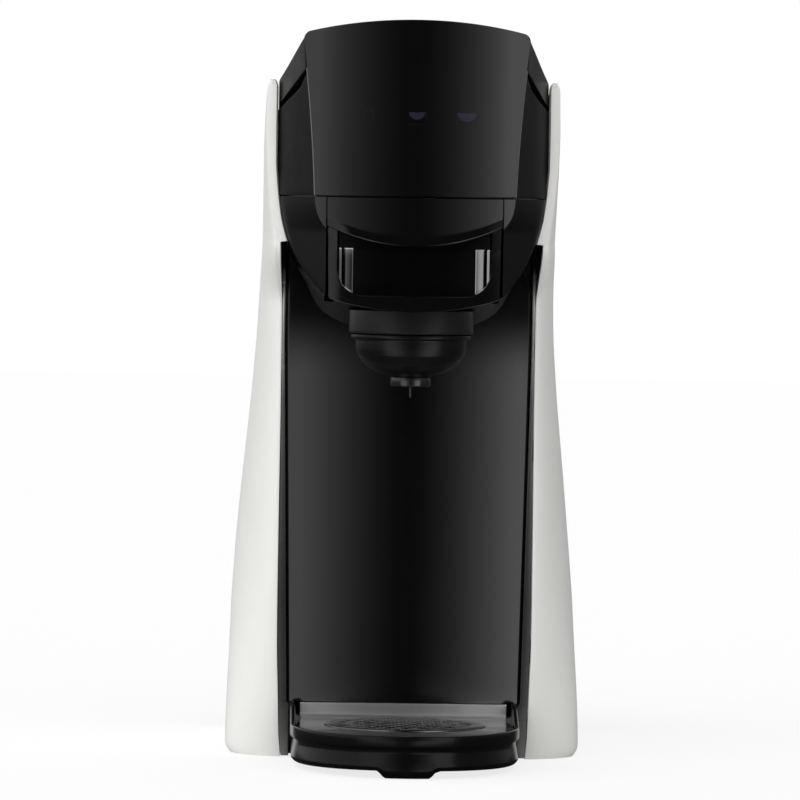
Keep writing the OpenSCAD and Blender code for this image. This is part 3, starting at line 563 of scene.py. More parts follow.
# Painted light on the trims: the fade paints reflections as lighter colour at the foot and brightest near 201
# mm, and paints the shade under the arms as nearly black from 212 mm up.
GUNMETAL = Finish("gunmetal_gloss", "trim_dark", (0.85, 0.85, 0.83), 0.26, metallic=0.6, coat=0.1,
                  relief=Relief.NONE, mottle=0.05, dust=0.0, fade=(
                      (0.0, 0.40), (10.0, 0.20), (24.0, 0.07), (69.0, 0.05), (112.0, 0.085), (155.0, 0.16),
                      (180.0, 0.50), (201.0, 1.0), (207.0, 0.4), (212.0, 0.012), (222.0, 0.004)))
CHROME = Finish("polished_chrome", "chrome_trim", (0.74, 0.74, 0.75), 0.07, metallic=1.0,
                relief=Relief.NONE, marks=0.05, dust=0.0)
STEEL = Finish("brushed_steel", "steel", grey(0.52), 0.24, metallic=1.0, relief=Relief.BRUSH,
               relief_scale=55.0, relief_depth=0.01, marks=0.08)
STEEL_POLISHED = replace(STEEL, name="polished_steel", colour=grey(0.66), roughness=0.13,
                         relief_scale=40.0, relief_depth=0.002)
# A lighter, rougher copy of the plate's steel for its upturned flange; the lighter colour is painted
# reflection.
STEEL_PAINTED_BRIGHT = replace(STEEL_POLISHED, name="steel_painted_bright", colour=grey(0.86), roughness=0.30)
STEEL_DARK = replace(STEEL, name="dark_steel", colour=grey(0.24), roughness=0.16, relief_scale=50.0,
                     relief_depth=0.004, marks=0.1)
BRASS = replace(STEEL, name="machined_brass", slot="pump_brass", colour=(0.55, 0.38, 0.14), roughness=0.28,
                relief_scale=80.0, marks=0.12)
CAST = Finish("cast_aluminium", "aluminium_cast", (0.55, 0.55, 0.56), 0.42, metallic=1.0,
              relief_scale=1500.0, relief_depth=0.05, marks=0.15)
RUBBER = Finish("black_rubber", "rubber_black", grey(0.022), 0.75, specular=0.3, relief_scale=2600.0,
                relief_depth=0.03)
SEAL = Finish("seal_silicone", "silicone_seal", (0.62, 0.13, 0.06), 0.55, specular=0.4,
              relief_scale=1800.0, relief_depth=0.01, subsurface=0.1)
HOSE = Finish("milky_silicone", "hose_silicone", (0.72, 0.70, 0.64), 0.4, specular=0.45,
              relief_scale=1600.0, relief_depth=0.01, subsurface=0.2)
TANK = Finish("smoked_clear", "tank_smoke", (0.20, 0.21, 0.225), 0.10, transmission=0.75, ior=1.49,
              relief_scale=500.0, relief_depth=0.01, dust=0.0, marks=0.06)
FRAME_GREY = Finish("glass_filled_grey", "frame_grey", (0.16, 0.17, 0.18), 0.6, relief_scale=1500.0,
                    relief_depth=0.04)
NATURAL = Finish("natural_white", "meter_white", (0.70, 0.70, 0.67), 0.45, relief_scale=1800.0,
                 relief_depth=0.01)
BOARD = Finish("solder_mask", "board_green", (0.012, 0.10, 0.035), 0.35, relief_scale=420.0,
               relief_depth=0.04, mottle=0.35)
SYMBOL = Finish("backlit_symbol", "gloss_black", (0.030, 0.030, 0.058), 0.3, coat=0.5, relief=Relief.NONE,
                glow=0.5, dust=0.0,
                fade=((266.0, 1.0), (268.0, 0.95), (269.3, 0.55), (270.4, 0.12), (272.0, 0.0)))
SYMBOL_DIM = Finish("backlit_symbol_dim", "gloss_black", (0.0015, 0.0020, 0.0050), 0.4, coat=0.5,
                    relief=Relief.NONE, dust=0.0, glow=0.1)


def dress(obj: Object, finish: Finish, body: str, *nodes: str) -> Object:
    """Gives a piece its finish, sets it on its body and lets it stand for frame nodes."""
    obj.data.materials.clear()
    obj.data.materials.append(finish.material())
    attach(obj, body)
    if nodes:
        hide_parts(*nodes)
    LOG.info("%s: %d faces, on %s", obj.name, len(obj.data.polygons), body)
    return obj


@dataclass
class Assembly:
    """A sub-assembly: its pieces, and in the same order each one's finish, body and frame node."""

    looks: ClassVar[tuple[tuple, ...]] = ()
    objects: list[Object] = field(default_factory=list, kw_only=True)

    def build(self) -> None:
        """Makes the pieces."""
        raise NotImplementedError

    def dress(self) -> None:
        """Gives each piece its look; only the first piece made for a frame node names that node."""
        for obj, (finish, body, *nodes) in zip(self.objects, self.looks, strict=True):
            dress(obj, finish, body, *nodes)


# ------------------------------------------------------------------ head


@dataclass
class HeadShape:
    """The head's outline, which its panel, lever and housings share."""

    axis_y: float = -62.0
    radius: float = 110.0
    crown_z: float = 316.4
    crown_y: float = -172.0
    crown_flat: float = 1.0 / 390.0
    crown_bend: float = 1.0 / 245.0
    slope: float = 14.8
    side: float = 57.4
    side_y: float = -106.0
    pivot_y: float = -58.0
    pivot_z: float = 267.0
    knuckle: float = 19.5
    panel_wall: float = 3.0
    panel_z: float = 244.0
    panel_half: float = 41.9
    flare: float = 0.04
    flare_bend: float = 0.00069
    flat_y: float = -166.0
    flat_run: float = 52.0

    def half(self, z: Array | float) -> Array:
        """Half width of the front panel at a height: a line plus a small square term."""
        h = np.maximum(np.asarray(z, float) - self.panel_z, -3.0)
        return self.panel_half + self.flare * h + self.flare_bend * h * h

    def arc_y(self, x: Array | float, inset: float = 0.0) -> Array:
        """Depth of the front arc at a place across: a circle about the panel's axis."""
        r = self.radius - inset
        return self.axis_y - np.sqrt(np.maximum(r * r - np.asarray(x, float) ** 2, 1.0))

    def crown(self, x: Array | float, y: Array | float) -> Array:
        """Height of the crown: it slopes down to the back and sags with x squared, more towards the back."""
        x, y = np.asarray(x, float), np.asarray(y, float)
        share = smooth((y - self.flat_y) / self.flat_run)
        bend = self.crown_flat + (self.crown_bend - self.crown_flat) * share
        return self.crown_z - (y - self.crown_y) * math.tan(math.radians(self.slope)) - bend * x * x / 2

    def width(self, y: Array | float, z: Array | float) -> Array:
        """Half width of the head at a depth and height: straight from the panel's corner to the side."""
        corner = self.half(z)
        start = self.arc_y(corner)
        t = np.clip((np.asarray(y, float) - start) / (self.side_y - start), 0, 1)
        return corner + (self.side - corner) * t


@dataclass
class FrontPanel(Assembly):
    """The glossy curved shield with its three touch symbols."""

    looks: ClassVar = (
        (PIANO_BLACK, "root", "front_panel"), (SYMBOL_DIM, "root"), (SYMBOL, "root"),
        (SYMBOL_DIM, "root"), (SYMBOL, "root"), (SYMBOL_DIM, "root"))
    head: HeadShape
    corner: float = 3.0
    foot_z: float = 242.95
    shoulder_z: float = 308.0
    symbol_z: float = 276.3
    power_x: float = -21.3
    small_cup: tuple[float, float] = (0.0, 3.4)
    large_cup: tuple[float, float] = (20.9, 4.0)
    proud: float = 0.04

    def build(self) -> None:
        """The panel's sheet: x is a share of the half width and z runs from the seam to the crown.

        The crown's corners are rounded by taking a quarter circle off the top line near both ends.
        """
        u = dense_ends(121)[None, :]
        v = np.linspace(0, 1, 49)[:, None]
        top_half = self.head.half(self.shoulder_z)
        x_top = u * top_half
        top = self.head.crown(x_top, self.head.arc_y(x_top))
        into = np.clip(np.abs(x_top) - (top_half - self.corner), 0, self.corner)
        top = top - (self.corner - np.sqrt(self.corner ** 2 - into ** 2))
        z = self.foot_z + v * (top - self.foot_z)
        x = u * self.head.half(z)
        panel = make_object("front_shield", [Patch(stack(x, self.head.arc_y(x), z))])
        self.objects += [finish_mesh(panel, wall=self.head.panel_wall, edge=0.7, segments=4),
                         self.power(self.power_x), *self.cup("small", *self.small_cup),
                         *self.cup("large", *self.large_cup)]

    def inlay(self, name: str, grids: list[Array]) -> Object:
        """A nearly flush symbol: grids of (x, z) points laid on the panel's arc."""
        patches = [Patch(stack(g[..., 0], self.head.arc_y(g[..., 0]) - self.proud, g[..., 1])) for g in grids]
        return finish_mesh(make_object(name, patches), wall=0.12)

    def power(self, x: float) -> Object:
        """An open ring with a bar through its gap."""
        a = np.radians(np.linspace(125, 415, 60))[None, :]
        r = np.array([2.9, 3.6])[:, None]
        ring = np.stack([x + r * np.cos(a), self.symbol_z + r * np.sin(a)], -1)[:, ::-1]
        bx, bz = np.meshgrid([x - 0.35, x + 0.35], np.linspace(self.symbol_z + 0.6, self.symbol_z + 4.2, 3))
        return self.inlay("power_symbol", [ring, np.stack([bx, bz], -1)])

    def cup(self, size: str, x: float, r: float) -> list[Object]:
        """A cup's bowl as a half disc, and apart from it a fainter handle ring and saucer line."""
        a = np.radians(np.linspace(180, 360, 33))[None, :]
        k = np.linspace(0.12, 1.0, 9)[:, None]
        bowl = np.stack([x + r * k * np.cos(a), self.symbol_z + 1.7 + 0.9 * r * k * np.sin(a)], -1)
        h = np.radians(np.linspace(-80, 90, 14))[None, :]
        q = np.array([0.7, 1.15])[:, None]
        handle = np.stack([x + r + q * np.cos(h), self.symbol_z + 0.7 + q * np.sin(h)], -1)[:, ::-1]
        sx, sz = np.meshgrid(np.linspace(x - r, x + r, 9), [self.symbol_z - 3.5, self.symbol_z - 3.2])
        return [self.inlay(f"cup_symbol_{size}", [bowl[::-1]]),
                self.inlay(f"cup_lines_{size}", [handle, np.stack([sx, sz], -1)])]


@dataclass
class UpperHousing(Assembly):
    """The head's upper cheeks between panel and arms, with a dark strip behind the seam below them that
    paints the seam's shade, and thin strips that paint the highlight on the panel's edges.
    """

    looks: ClassVar = (
        (CHEEK_BLACK, "root", "upper_housing"), (CHEEK_BLACK, "root"), (SHADE_AND_REFLECTION_BLACK, "root"),
        (SATIN_BLACK, "root"), (EDGE_HIGHLIGHT, "root"))
    head: HeadShape
    foot_z: float = 242.8
    side: float = 57.7
    start_y: float = -162.6
    rear_y: float = -93.0
    wall: float = 1.8
    line_top: float = 296.0
    strip_in: float = 1.3
    strip_half: float = 41.2
    strip_side: float = 56.0
    strip_y: tuple[float, float] = (-50.0, -105.5)
    strip_top: float = 244.8
    top_y: Stations = (-172.0, -156.0, -148.0, -133.0, -108.0, -76.0)
    top_z: Stations = (297.4, 291.8, 288.4, 285.0, 279.7, 270.0)

    def build(self) -> None:
        """A cheek runs straight from the panel's edge to the side and back, up to the finger gap."""
        u = np.concatenate([np.linspace(0, 1, 25), 1 + np.linspace(0, 1, 17)[1:]])[None, :]
        v = np.linspace(0, 1, 25)[:, None]
        flat_y = np.where(u <= 1, self.start_y + (self.head.side_y - self.start_y) * u,
                          self.head.side_y + (self.rear_y - self.head.side_y) * (u - 1))
        z = self.foot_z + v * (np.interp(flat_y, self.top_y, self.top_z) - self.foot_z)
        edge = self.head.half(z) + 0.2
        start = self.head.arc_y(edge) + 0.1
        y = np.where(u <= 1, start + (self.head.side_y - start) * u, flat_y)
        x = edge + (self.side - edge) * np.minimum(u, 1)
        for side, sign in SIDES:
            cheek = make_object(side + "_cheek", [Patch(stack(x * sign, y, z), flip=sign < 0)])
            self.objects.append(finish_mesh(cheek, wall=self.wall, edge=0.35, segments=3))
        self.objects += [self.seam_shade(), refined("upper_housing", 0.4, "upper_core", self.tucked)]
        # Thin strips along the panel's edges: painted highlight of the rounded edge, partly lit by the
        # surround they reflect.
        z = np.linspace(self.foot_z + 0.2, self.line_top, 50)[:, None]
        k = np.linspace(0, 1, 4)[None, :]
        x = self.head.half(z) + 0.02 + 0.4 * k
        y = self.head.arc_y(self.head.half(z)) - 0.12 + 0.3 * k
        lines = [Patch(stack(x * sign, y, z), flip=sign < 0) for _, sign in SIDES]
        self.objects.append(finish_mesh(make_object("panel_edges", lines), wall=0.5))

    def seam_shade(self) -> Object:
        """A dark strip that paints the seam's shade: it follows the head's plan a little behind its outline,
        across the seam.
        """
        arc = np.linspace(-self.strip_half, self.strip_half, 41)
        front = np.stack([arc, self.head.arc_y(arc, self.strip_in)], -1)
        leg = np.array([[self.strip_side, y] for y in self.strip_y])
        path = np.concatenate([leg * [-1, 1], front, leg[::-1]])
        x, y = path[None, :, 0], path[None, :, 1]
        low = np.where(np.abs(x) < 38.5, 242.42, 241.5)  # higher over the drawer, to leave it its gap
        z = np.concatenate([low, 0 * low + self.strip_top])
        return finish_mesh(make_object("seam_painted_shade", [Patch(stack(x, y, z))]), wall=0.5)

    @staticmethod
    def tucked(p: Array) -> Array:
        """Draws the core in under the cheeks: sides by 1.5 mm, the front by 2.4 and the top by 0.3."""
        q = p.copy()
        q[:, 0] -= np.sign(p[:, 0]) * 1.5 * (np.abs(p[:, 0]) > 38)
        q[:, 1] += 2.4 * (p[:, 1] < -150)
        q[:, 2] -= 0.3 * (p[:, 2] > 262)
        return q


@dataclass
class LeverCap(Assembly):
    """The lever: an arched cap with side cheeks, a front wall and a hinge barrel."""

    looks: ClassVar = (
        (LEVER_BLACK, "lever_arm", "lever"), (SATIN_BLACK, "lever_arm"), (SATIN_BLACK, "lever_arm"))
    head: HeadShape
    wall: float = 2.6
    corner: float = 1.4
    gap: float = 0.45
    barrel: float = 9.4
    knuckle_y: float = 4.98
    tail: float = 19.2
    round_share: float = 0.25
    lean: float = 0.06
    lean_run: float = 50.0
    low_y: Stations = (-172.0, -108.0, -68.0, -58.0, -30.0)
    low_z: Stations = (299.6, 281.9, 271.4, 268.6, 268.6)

    def section(self, y: Array, side: Array, rise: Array) -> tuple[Array, Array]:
        """Across place and height on the cap.

        side runs from -1 to 1 over the arched top; rise runs down the cheek from 0 at the
        rounded corner to 1 at the lower edge. The corner is a quarter circle.

        Args:
            y: depth of each point.
            side: place across the top, as a share of the half width.
            rise: place down the cheek.
        Returns:
            x and z of each point.
        """
        w = self.head.width(y, 300.0)
        ahead = self.head.crown(0 * y, y)
        back = self.head.pivot_z + np.sqrt(np.maximum(self.head.knuckle ** 2 - np.clip(
            y - self.head.pivot_y, 0, self.head.knuckle) ** 2, 0.0))
        drop = self.head.crown(w - self.corner, y) - ahead
        roof = np.where(y > self.head.pivot_y + self.knuckle_y, back, ahead)
        lean = self.lean * np.clip((self.head.side_y - y) / self.lean_run, 0, 1)
        low = np.interp(y, self.low_y, self.low_z)
        c = self.corner
        bend = np.clip(rise / self.round_share, 0, 1) * QUARTER
        down = np.clip((rise - self.round_share) / (1 - self.round_share), 0, 1)
        x_top = (w - c) * np.clip(np.abs(side), 0, 1)
        z_top = roof + self.head.crown(x_top, y) - ahead
        start = roof + drop
        floor = np.minimum(low, start - c - 0.5)
        x = np.where(rise > 0, w - c + c * np.sin(bend), x_top)
        z = np.where(rise > 0, start - c + c * np.cos(bend) - down * (start - c - floor), z_top)
        x = x - np.where(rise > 0, lean * down * (start - c - floor), 0.0)
        return x * np.sign(side + 1e-12), z

    def build(self) -> None:
        """The cap runs from behind the panel's arc to the knuckle; its front edge follows the arc."""
        top = np.linspace(-1, 1, 61)
        share = self.round_share
        down = np.concatenate([np.linspace(0, share, 9)[1:], np.linspace(share, 1, 9)[1:]])
        side = np.concatenate([-np.ones(len(down)), top, np.ones(len(down))])[None, :]
        rise = np.concatenate([down[::-1], 0 * top, down])[None, :]
        s = np.concatenate([np.linspace(0, 1, 41), 1 + np.linspace(0, 1, 15)[1:]])[:, None]
        end = self.head.pivot_y
        tail = end + self.tail * np.clip(s - 1, 0, 1)
        x = 50.0 * side + 0 * s
        y, z = x, x
        for _ in range(8):  # the front edge lies on the arc at its own place across
            front = self.head.arc_y(np.clip(np.abs(x), 0, 60), inset=self.head.panel_wall + self.gap)
            y = np.where(s <= 1, front + (end - front) * np.clip(s, 0, 1), tail) + 0 * side
            x, z = self.section(y, side + 0 * s, rise + 0 * s)
        cap = make_object("lever_cap", [Patch(stack(x, y, z))])
        self.objects += [finish_mesh(cap, wall=self.wall, edge=0.5), self.front_wall(), self.hinge_barrel()]

    def front_wall(self) -> Object:
        """The wall that closes the cap behind the panel."""
        x = np.linspace(-1, 1, 49)[None, :] * (self.head.half(304.0) - 1.6)
        y = self.head.arc_y(x, inset=self.head.panel_wall + self.gap + 0.05)
        low = np.interp(y, self.low_y, self.low_z) + 0.4
        z = low + np.linspace(0, 1, 9)[:, None] * (self.head.crown(x, y) - 1.2 - low)
        return finish_mesh(make_object("lever_front_wall", [Patch(stack(x, y, z))]), wall=2.2, edge=0.4)

    def hinge_barrel(self) -> Object:
        """The hinge barrel, turned about the lever's axis, with its ends drawn in."""
        a = np.linspace(0, 2 * math.pi, 64, endpoint=False)[None, :]
        span, bevel, bore = self.head.side - 3.0, 0.6, 3.3
        half = np.array([[span, bore], [span, self.barrel - bevel], [span - bevel, self.barrel]])
        line = np.concatenate([half * [-1, 1], half[::-1]])
        ring = stack(line[:, :1] + 0 * a, self.head.pivot_y + line[:, 1:] * np.cos(a),
                     self.head.pivot_z + line[:, 1:] * np.sin(a))
        return finish_mesh(make_object("lever_barrel", [Patch(ring, wrap=True, caps=True)], outward=True))


@dataclass
class Drawer(Assembly):
    """The capsule drawer's front with its rolled lip, finger recess and chrome lining."""

    looks: ClassVar = (
        (PIANO_BLACK, "drawer", "drawer_front"), (CHROME, "drawer", "handle_plate"), (CHROME, "drawer"),
        (SHADE_AND_REFLECTION_BLACK, "drawer"), (SHADE_AND_REFLECTION_BLACK, "drawer"))
    head: HeadShape
    top_z: float = 242.2
    foot_z: float = 194.8
    foot_r: float = 122.0
    half_top: float = 36.6
    half_low: float = 35.7
    back_y: float = -146.4
    lip_z: float = 222.0
    lip_r: float = 84.0
    slope_h: float = 3.3
    slope: float = 0.145
    roll: float = 0.45
    step: float = 1.5
    recess_half: float = 32.1
    recess_foot: float = 201.4
    recess_corner: float = 11.0
    recess_depth: float = 17.0
    lining_r: float = 61.5
    lining_y: float = -155.8
    lining_x: tuple[float, float] = (25.2, 29.5)
    rim_x: tuple[float, float] = (30.3, 31.5)
    dark_reflection_half: float = 25.4
    shade_half: float = 31.4
    strip_top: float = 221.4
    foot_corner: float = 1.2
    under_slope: float = 0.06
    taper_z: float = 206.0
    taper_run: float = 30.0

    def foot(self, x: Array) -> Array:
        """Height of the lower edge: a wide arc whose ends turn up with a small radius."""
        c = self.foot_corner
        arc = self.foot_z + self.foot_r - np.sqrt(self.foot_r ** 2 - x * x)
        into = np.clip(np.abs(x) - (self.half_low - c), 0, c - 0.01)
        return arc + c - np.sqrt(c ** 2 - into ** 2)

    def lip(self, x: Array) -> Array:
        """Height of the lip's lower edge: an arc that is lowest in the middle."""
        return self.lip_z + self.lip_r - np.sqrt(self.lip_r ** 2 - np.clip(np.abs(x), 0, 40) ** 2)

    def recess(self, x: Array, z: Array) -> Array:
        """Distance inside the recess's outline: a box with round lower corners, open at the top."""
        qx = np.abs(x) - (self.recess_half - self.recess_corner)
        qz = (self.recess_foot + self.recess_corner) - z
        out = np.hypot(np.maximum(qx, 0), np.maximum(qz, 0)) + np.minimum(np.maximum(qx, qz), 0)
        return self.recess_corner - out

    def inset(self, x: Array, z: Array) -> Array:
        """How far the front is set back: the sloped and rolled lip, the step under it and the recess.

        Above the lip's edge the slope comes in softly and ends in a quarter circle.
        """
        h = z - self.lip(x)
        q = self.slope_h - h
        sloped = self.slope * (np.sqrt(q * q + 0.7) + q) / 2
        curl = np.clip(self.roll - h, 0, self.roll)
        rolled = self.roll - np.sqrt(np.maximum(self.roll ** 2 - curl ** 2, 0))
        deep = smooth(self.recess(x, z) / 0.7)
        under = self.step + self.under_slope * np.clip(-h, 0, 9)
        return np.where(h > 0, sloped + rolled, under + deep * (self.recess_depth - under))

    def build(self) -> None:
        """The front as a height field on (x, z), with side walls and a back that close it."""
        u = dense_ends(261)[None, :]
        x0 = u * self.half_low
        low = self.foot(x0)
        lip = self.lip(x0)
        lower = np.linspace(0, 1, 110)[:, None]
        upper = np.concatenate([np.linspace(0, 0.3, 26)[1:], np.linspace(0.3, 1, 30)[1:]])[:, None]
        z = np.concatenate([low + lower * (lip - 0.05 - low), lip + upper * (self.top_z - lip)])
        taper = np.clip((z - self.taper_z) / self.taper_run, 0, 1)
        x = u * (self.half_low + (self.half_top - self.half_low) * taper)
        y = self.head.arc_y(x) + self.inset(x, z)
        front = stack(x, y, z)
        edge = np.concatenate([front[0, :-1], front[:-1, -1], front[-1, :0:-1], front[:0:-1, 0]])
        back = edge.copy()
        back[:, 1] = self.back_y
        skirt = Patch(np.stack([edge, back]), wrap=True, flip=True)
        rear = Patch(stack(x, 0 * x + self.back_y, z), flip=True)
        body = make_object("drawer_face", [Patch(front), skirt, rear], outward=True)
        self.objects += [finish_mesh(body, edge=0.25, segments=2, corner=65.0),
                         self.strip("recess_lining", self.both(*self.lining_x), 0.0),
                         self.strip("recess_rim", self.both(*self.rim_x), 0.25),
                         # The black middle strip paints the dark reflection of the chrome lining there, and
                         # the band from shade() paints the shade under the lip.
                         self.strip("recess_dark_reflection", [(-self.dark_reflection_half, self.dark_reflection_half)], -0.2), self.shade()]

    @staticmethod
    def both(start: float, end: float) -> Profile:
        """The same run on the left and on the right."""
        return [(-end, -start), (start, end)]

    def lining(self, x: Array) -> Array:
        """Depth of the hollow cylinder that lines the recess."""
        return self.lining_y - self.lining_r + np.sqrt(self.lining_r ** 2 - x * x)

    def strip(self, name: str, runs: Profile, back: float) -> Object:
        """Upright strips of the lining, cut off at the recess's outline.

        Args:
            name: the piece's name.
            runs: each strip's two ends across.
            back: how far the strips stand behind the lining.
        Returns:
            The piece.
        """
        patches = []
        r = self.recess_corner
        for start, end in runs:
            x = np.linspace(start, end, max(5, int(abs(end - start) * 1.6)))[None, :]
            into = np.clip(np.abs(x) - (self.recess_half - r), 0, r - 0.05)
            low = self.recess_foot + r - np.sqrt(r ** 2 - into ** 2) + 0.1
            z = low + np.linspace(0, 1, 25)[:, None] * (self.strip_top - low)
            patches.append(Patch(stack(x, self.lining(x) + back, z)))
        return finish_mesh(make_object(name, patches), wall=0.6, edge=0.06, segments=2)

    def shade(self) -> Object:
        """A black band of painted shade behind the lip that covers the upper ends of the strips."""
        x = np.linspace(-self.shade_half, self.shade_half, 61)[None, :]
        rise = self.lip(x) + 1.0 - self.strip_top
        z = self.strip_top - 0.1 + np.linspace(0, 1, 9)[:, None] * rise
        return finish_mesh(make_object("recess_shade", [Patch(stack(x, self.lining(x) - 0.7, z))]), wall=0.5)


@dataclass
class LowerHousing(Assembly):
    """The bowl under the head: two cheeks beside the drawer, glossy corners and the neck to the column."""

    # The core's near-black colour is painted shade under the head.
    looks: ClassVar = (
        (CHEEK_BLACK, "root", "lower_housing"), (NECK_BLACK, "root"), (PIANO_BLACK, "root"),
        (PIANO_BLACK, "root"), (SHADE_AND_REFLECTION_BLACK, "root"))
    head: HeadShape
    drawer_half: float = 37.0
    top_z: float = 242.35
    side: float = 57.6
    back_y: float = -63.5
    pocket_z: float = 201.2
    pocket_y: float = -148.0
    floor_y: float = -152.0
    corner_half: float = 41.85
    corner_z: Stations = (226.0, 228.9, 231.0, 233.4, 236.0, 239.0, 242.4)
    corner_x: Stations = (37.0, 37.0, 38.6, 40.0, 41.0, 41.7, 41.9)

    def curve(self, points: Profile, count: int) -> Array:
        """A smooth line through points: cubic pieces whose slopes join neighbours, evenly counted."""
        p = np.array(points, float)
        t = np.concatenate([[0], np.cumsum(np.linalg.norm(np.diff(p, axis=0), axis=1))])
        m = np.gradient(p, t, axis=0)
        s = np.linspace(0, t[-1], count)
        i = np.clip(np.searchsorted(t, s, "right") - 1, 0, len(t) - 2)
        h = (t[i + 1] - t[i])[:, None]
        u = ((s - t[i])[:, None]) / h
        return ((2 * u ** 3 - 3 * u ** 2 + 1) * p[i] + (u ** 3 - 2 * u ** 2 + u) * h * m[i]
                + (3 * u ** 2 - 2 * u ** 3) * p[i + 1] + (u ** 3 - u ** 2) * h * m[i + 1])

    def build(self) -> None:
        """Each row runs from the drawer's gap along the cheek to the side and back to the column.

        The side line is the head's outline from the front; the back line is the wider and deeper
        outline of the neck.
        """
        count = 60
        side = self.curve([
            (56.8, self.top_z), (56.4, 239.5), (55.0, 233.0), (52.3, 223.5), (48.4, 215.0), (43.2, 207.5),
            (37.0, self.pocket_z), (28.0, 198.4), (14.0, 197.6), (0.0, 197.5)], count)
        neck = self.curve([
            (55.6, self.top_z), (55.5, 239.5), (55.2, 231.0), (53.8, 222.5), (50.4, 215.0), (46.2, 208.0),
            (39.9, 198.3), (32.2, 190.5), (24.8, 185.6), (12.0, 183.4), (0.0, 183.2)], count)
        sx, sz = side[:, :1], side[:, 1:]
        pocket = sz > self.pocket_z
        fx = np.where(pocket, np.interp(sz, self.corner_z, self.corner_x), self.drawer_half)
        fx = np.minimum(fx, sx)
        fy = np.where(pocket, self.head.arc_y(fx) + 0.35, self.floor_y)
        a = np.linspace(0, 1, 25)[None, :]
        b = np.linspace(0, 1, 9)[None, 1:]
        side_y = self.head.side_y
        ahead_y = fy + (side_y - fy) * a
        line = fx + (self.side + 0.6 - fx) * a
        ahead_x = (line + sx - np.sqrt((line - sx) ** 2 + 1.2)) / 2
        below_x = np.minimum(sx, ahead_x + 60 * (sx < 38))
        ahead_x = np.where(pocket, np.maximum(ahead_x, fx * (1 - a) + ahead_x * a), below_x)
        x = np.concatenate([ahead_x, sx + (neck[:, :1] - sx) * b], axis=1)
        y = np.concatenate([ahead_y, side_y + (self.back_y - side_y) * b + 0 * sx], axis=1)
        z = np.concatenate([sz + 0 * a, sz + (neck[:, 1:] - sz) * b], axis=1)
        k = pocket[:, 0]
        t = np.linspace(0, 1, 6)[None, :]
        first, then = np.minimum(1, t * 5), np.clip((t * 5 - 1) / 4, 0, 1)
        inner = np.minimum(fx[k], self.drawer_half)
        wall_x = fx[k] + (inner - fx[k]) * first
        wall_y = fy[k] + 0.8 * first + (self.pocket_y - fy[k]) * then
        patches, necks = [], []
        seam = a.shape[1]
        for _, sign in SIDES:
            cheek = stack(x * sign, y, z)
            patches += [Patch(cheek[:, :seam], flip=sign > 0),
                        Patch(stack(wall_x * sign, wall_y, sz[k]), flip=sign < 0)]
            necks.append(Patch(cheek[:, seam - 1:], flip=sign > 0))
        self.objects += [finish_mesh(make_object("lower_bowl", patches)),
                         finish_mesh(make_object("lower_neck", necks)),
                         *(self.corner(side_name + "_corner", sign) for side_name, sign in SIDES),
                         refined("lower_housing", 0.4, "lower_core", self.tucked)]

    def tucked(self, p: Array) -> Array:
        """Draws the core in under the skin.

        Beyond the drawer's pocket it is narrower by 0.3 of the distance and set back by twice
        it, and its underside rises by 0.16 of its depth under the bowl.
        """
        q = p.copy()
        over = np.maximum(np.abs(p[:, 0]) - self.drawer_half - 0.2, 0)
        q[:, 0] = np.sign(p[:, 0]) * (np.abs(p[:, 0]) - 0.3 * over)
        q[:, 1] = np.maximum(p[:, 1], np.where(over > 0.3, self.pocket_y + over * 2.0, self.head.crown_y - 3))
        q[:, 2] += 0.16 * np.maximum(198.0 - p[:, 2], 0)
        return q

    def corner(self, name: str, sign: float) -> Object:
        """A glossy corner flush with the panel's arc, its lower edge drawn in as a round."""
        low_x = np.linspace(self.drawer_half, self.corner_half, 17)[None, :]
        low_z = np.interp(low_x, self.corner_x[1:], self.corner_z[1:])
        v = np.linspace(0, 1, 11)[:, None]
        z = low_z + v * (self.top_z - 0.05 - low_z)
        piece = make_object(name, [Patch(stack(low_x * sign, self.head.arc_y(low_x), z), flip=sign < 0)])
        return finish_mesh(piece, wall=1.6, edge=0.35, segments=3)


# ------------------------------------------------------------------ body


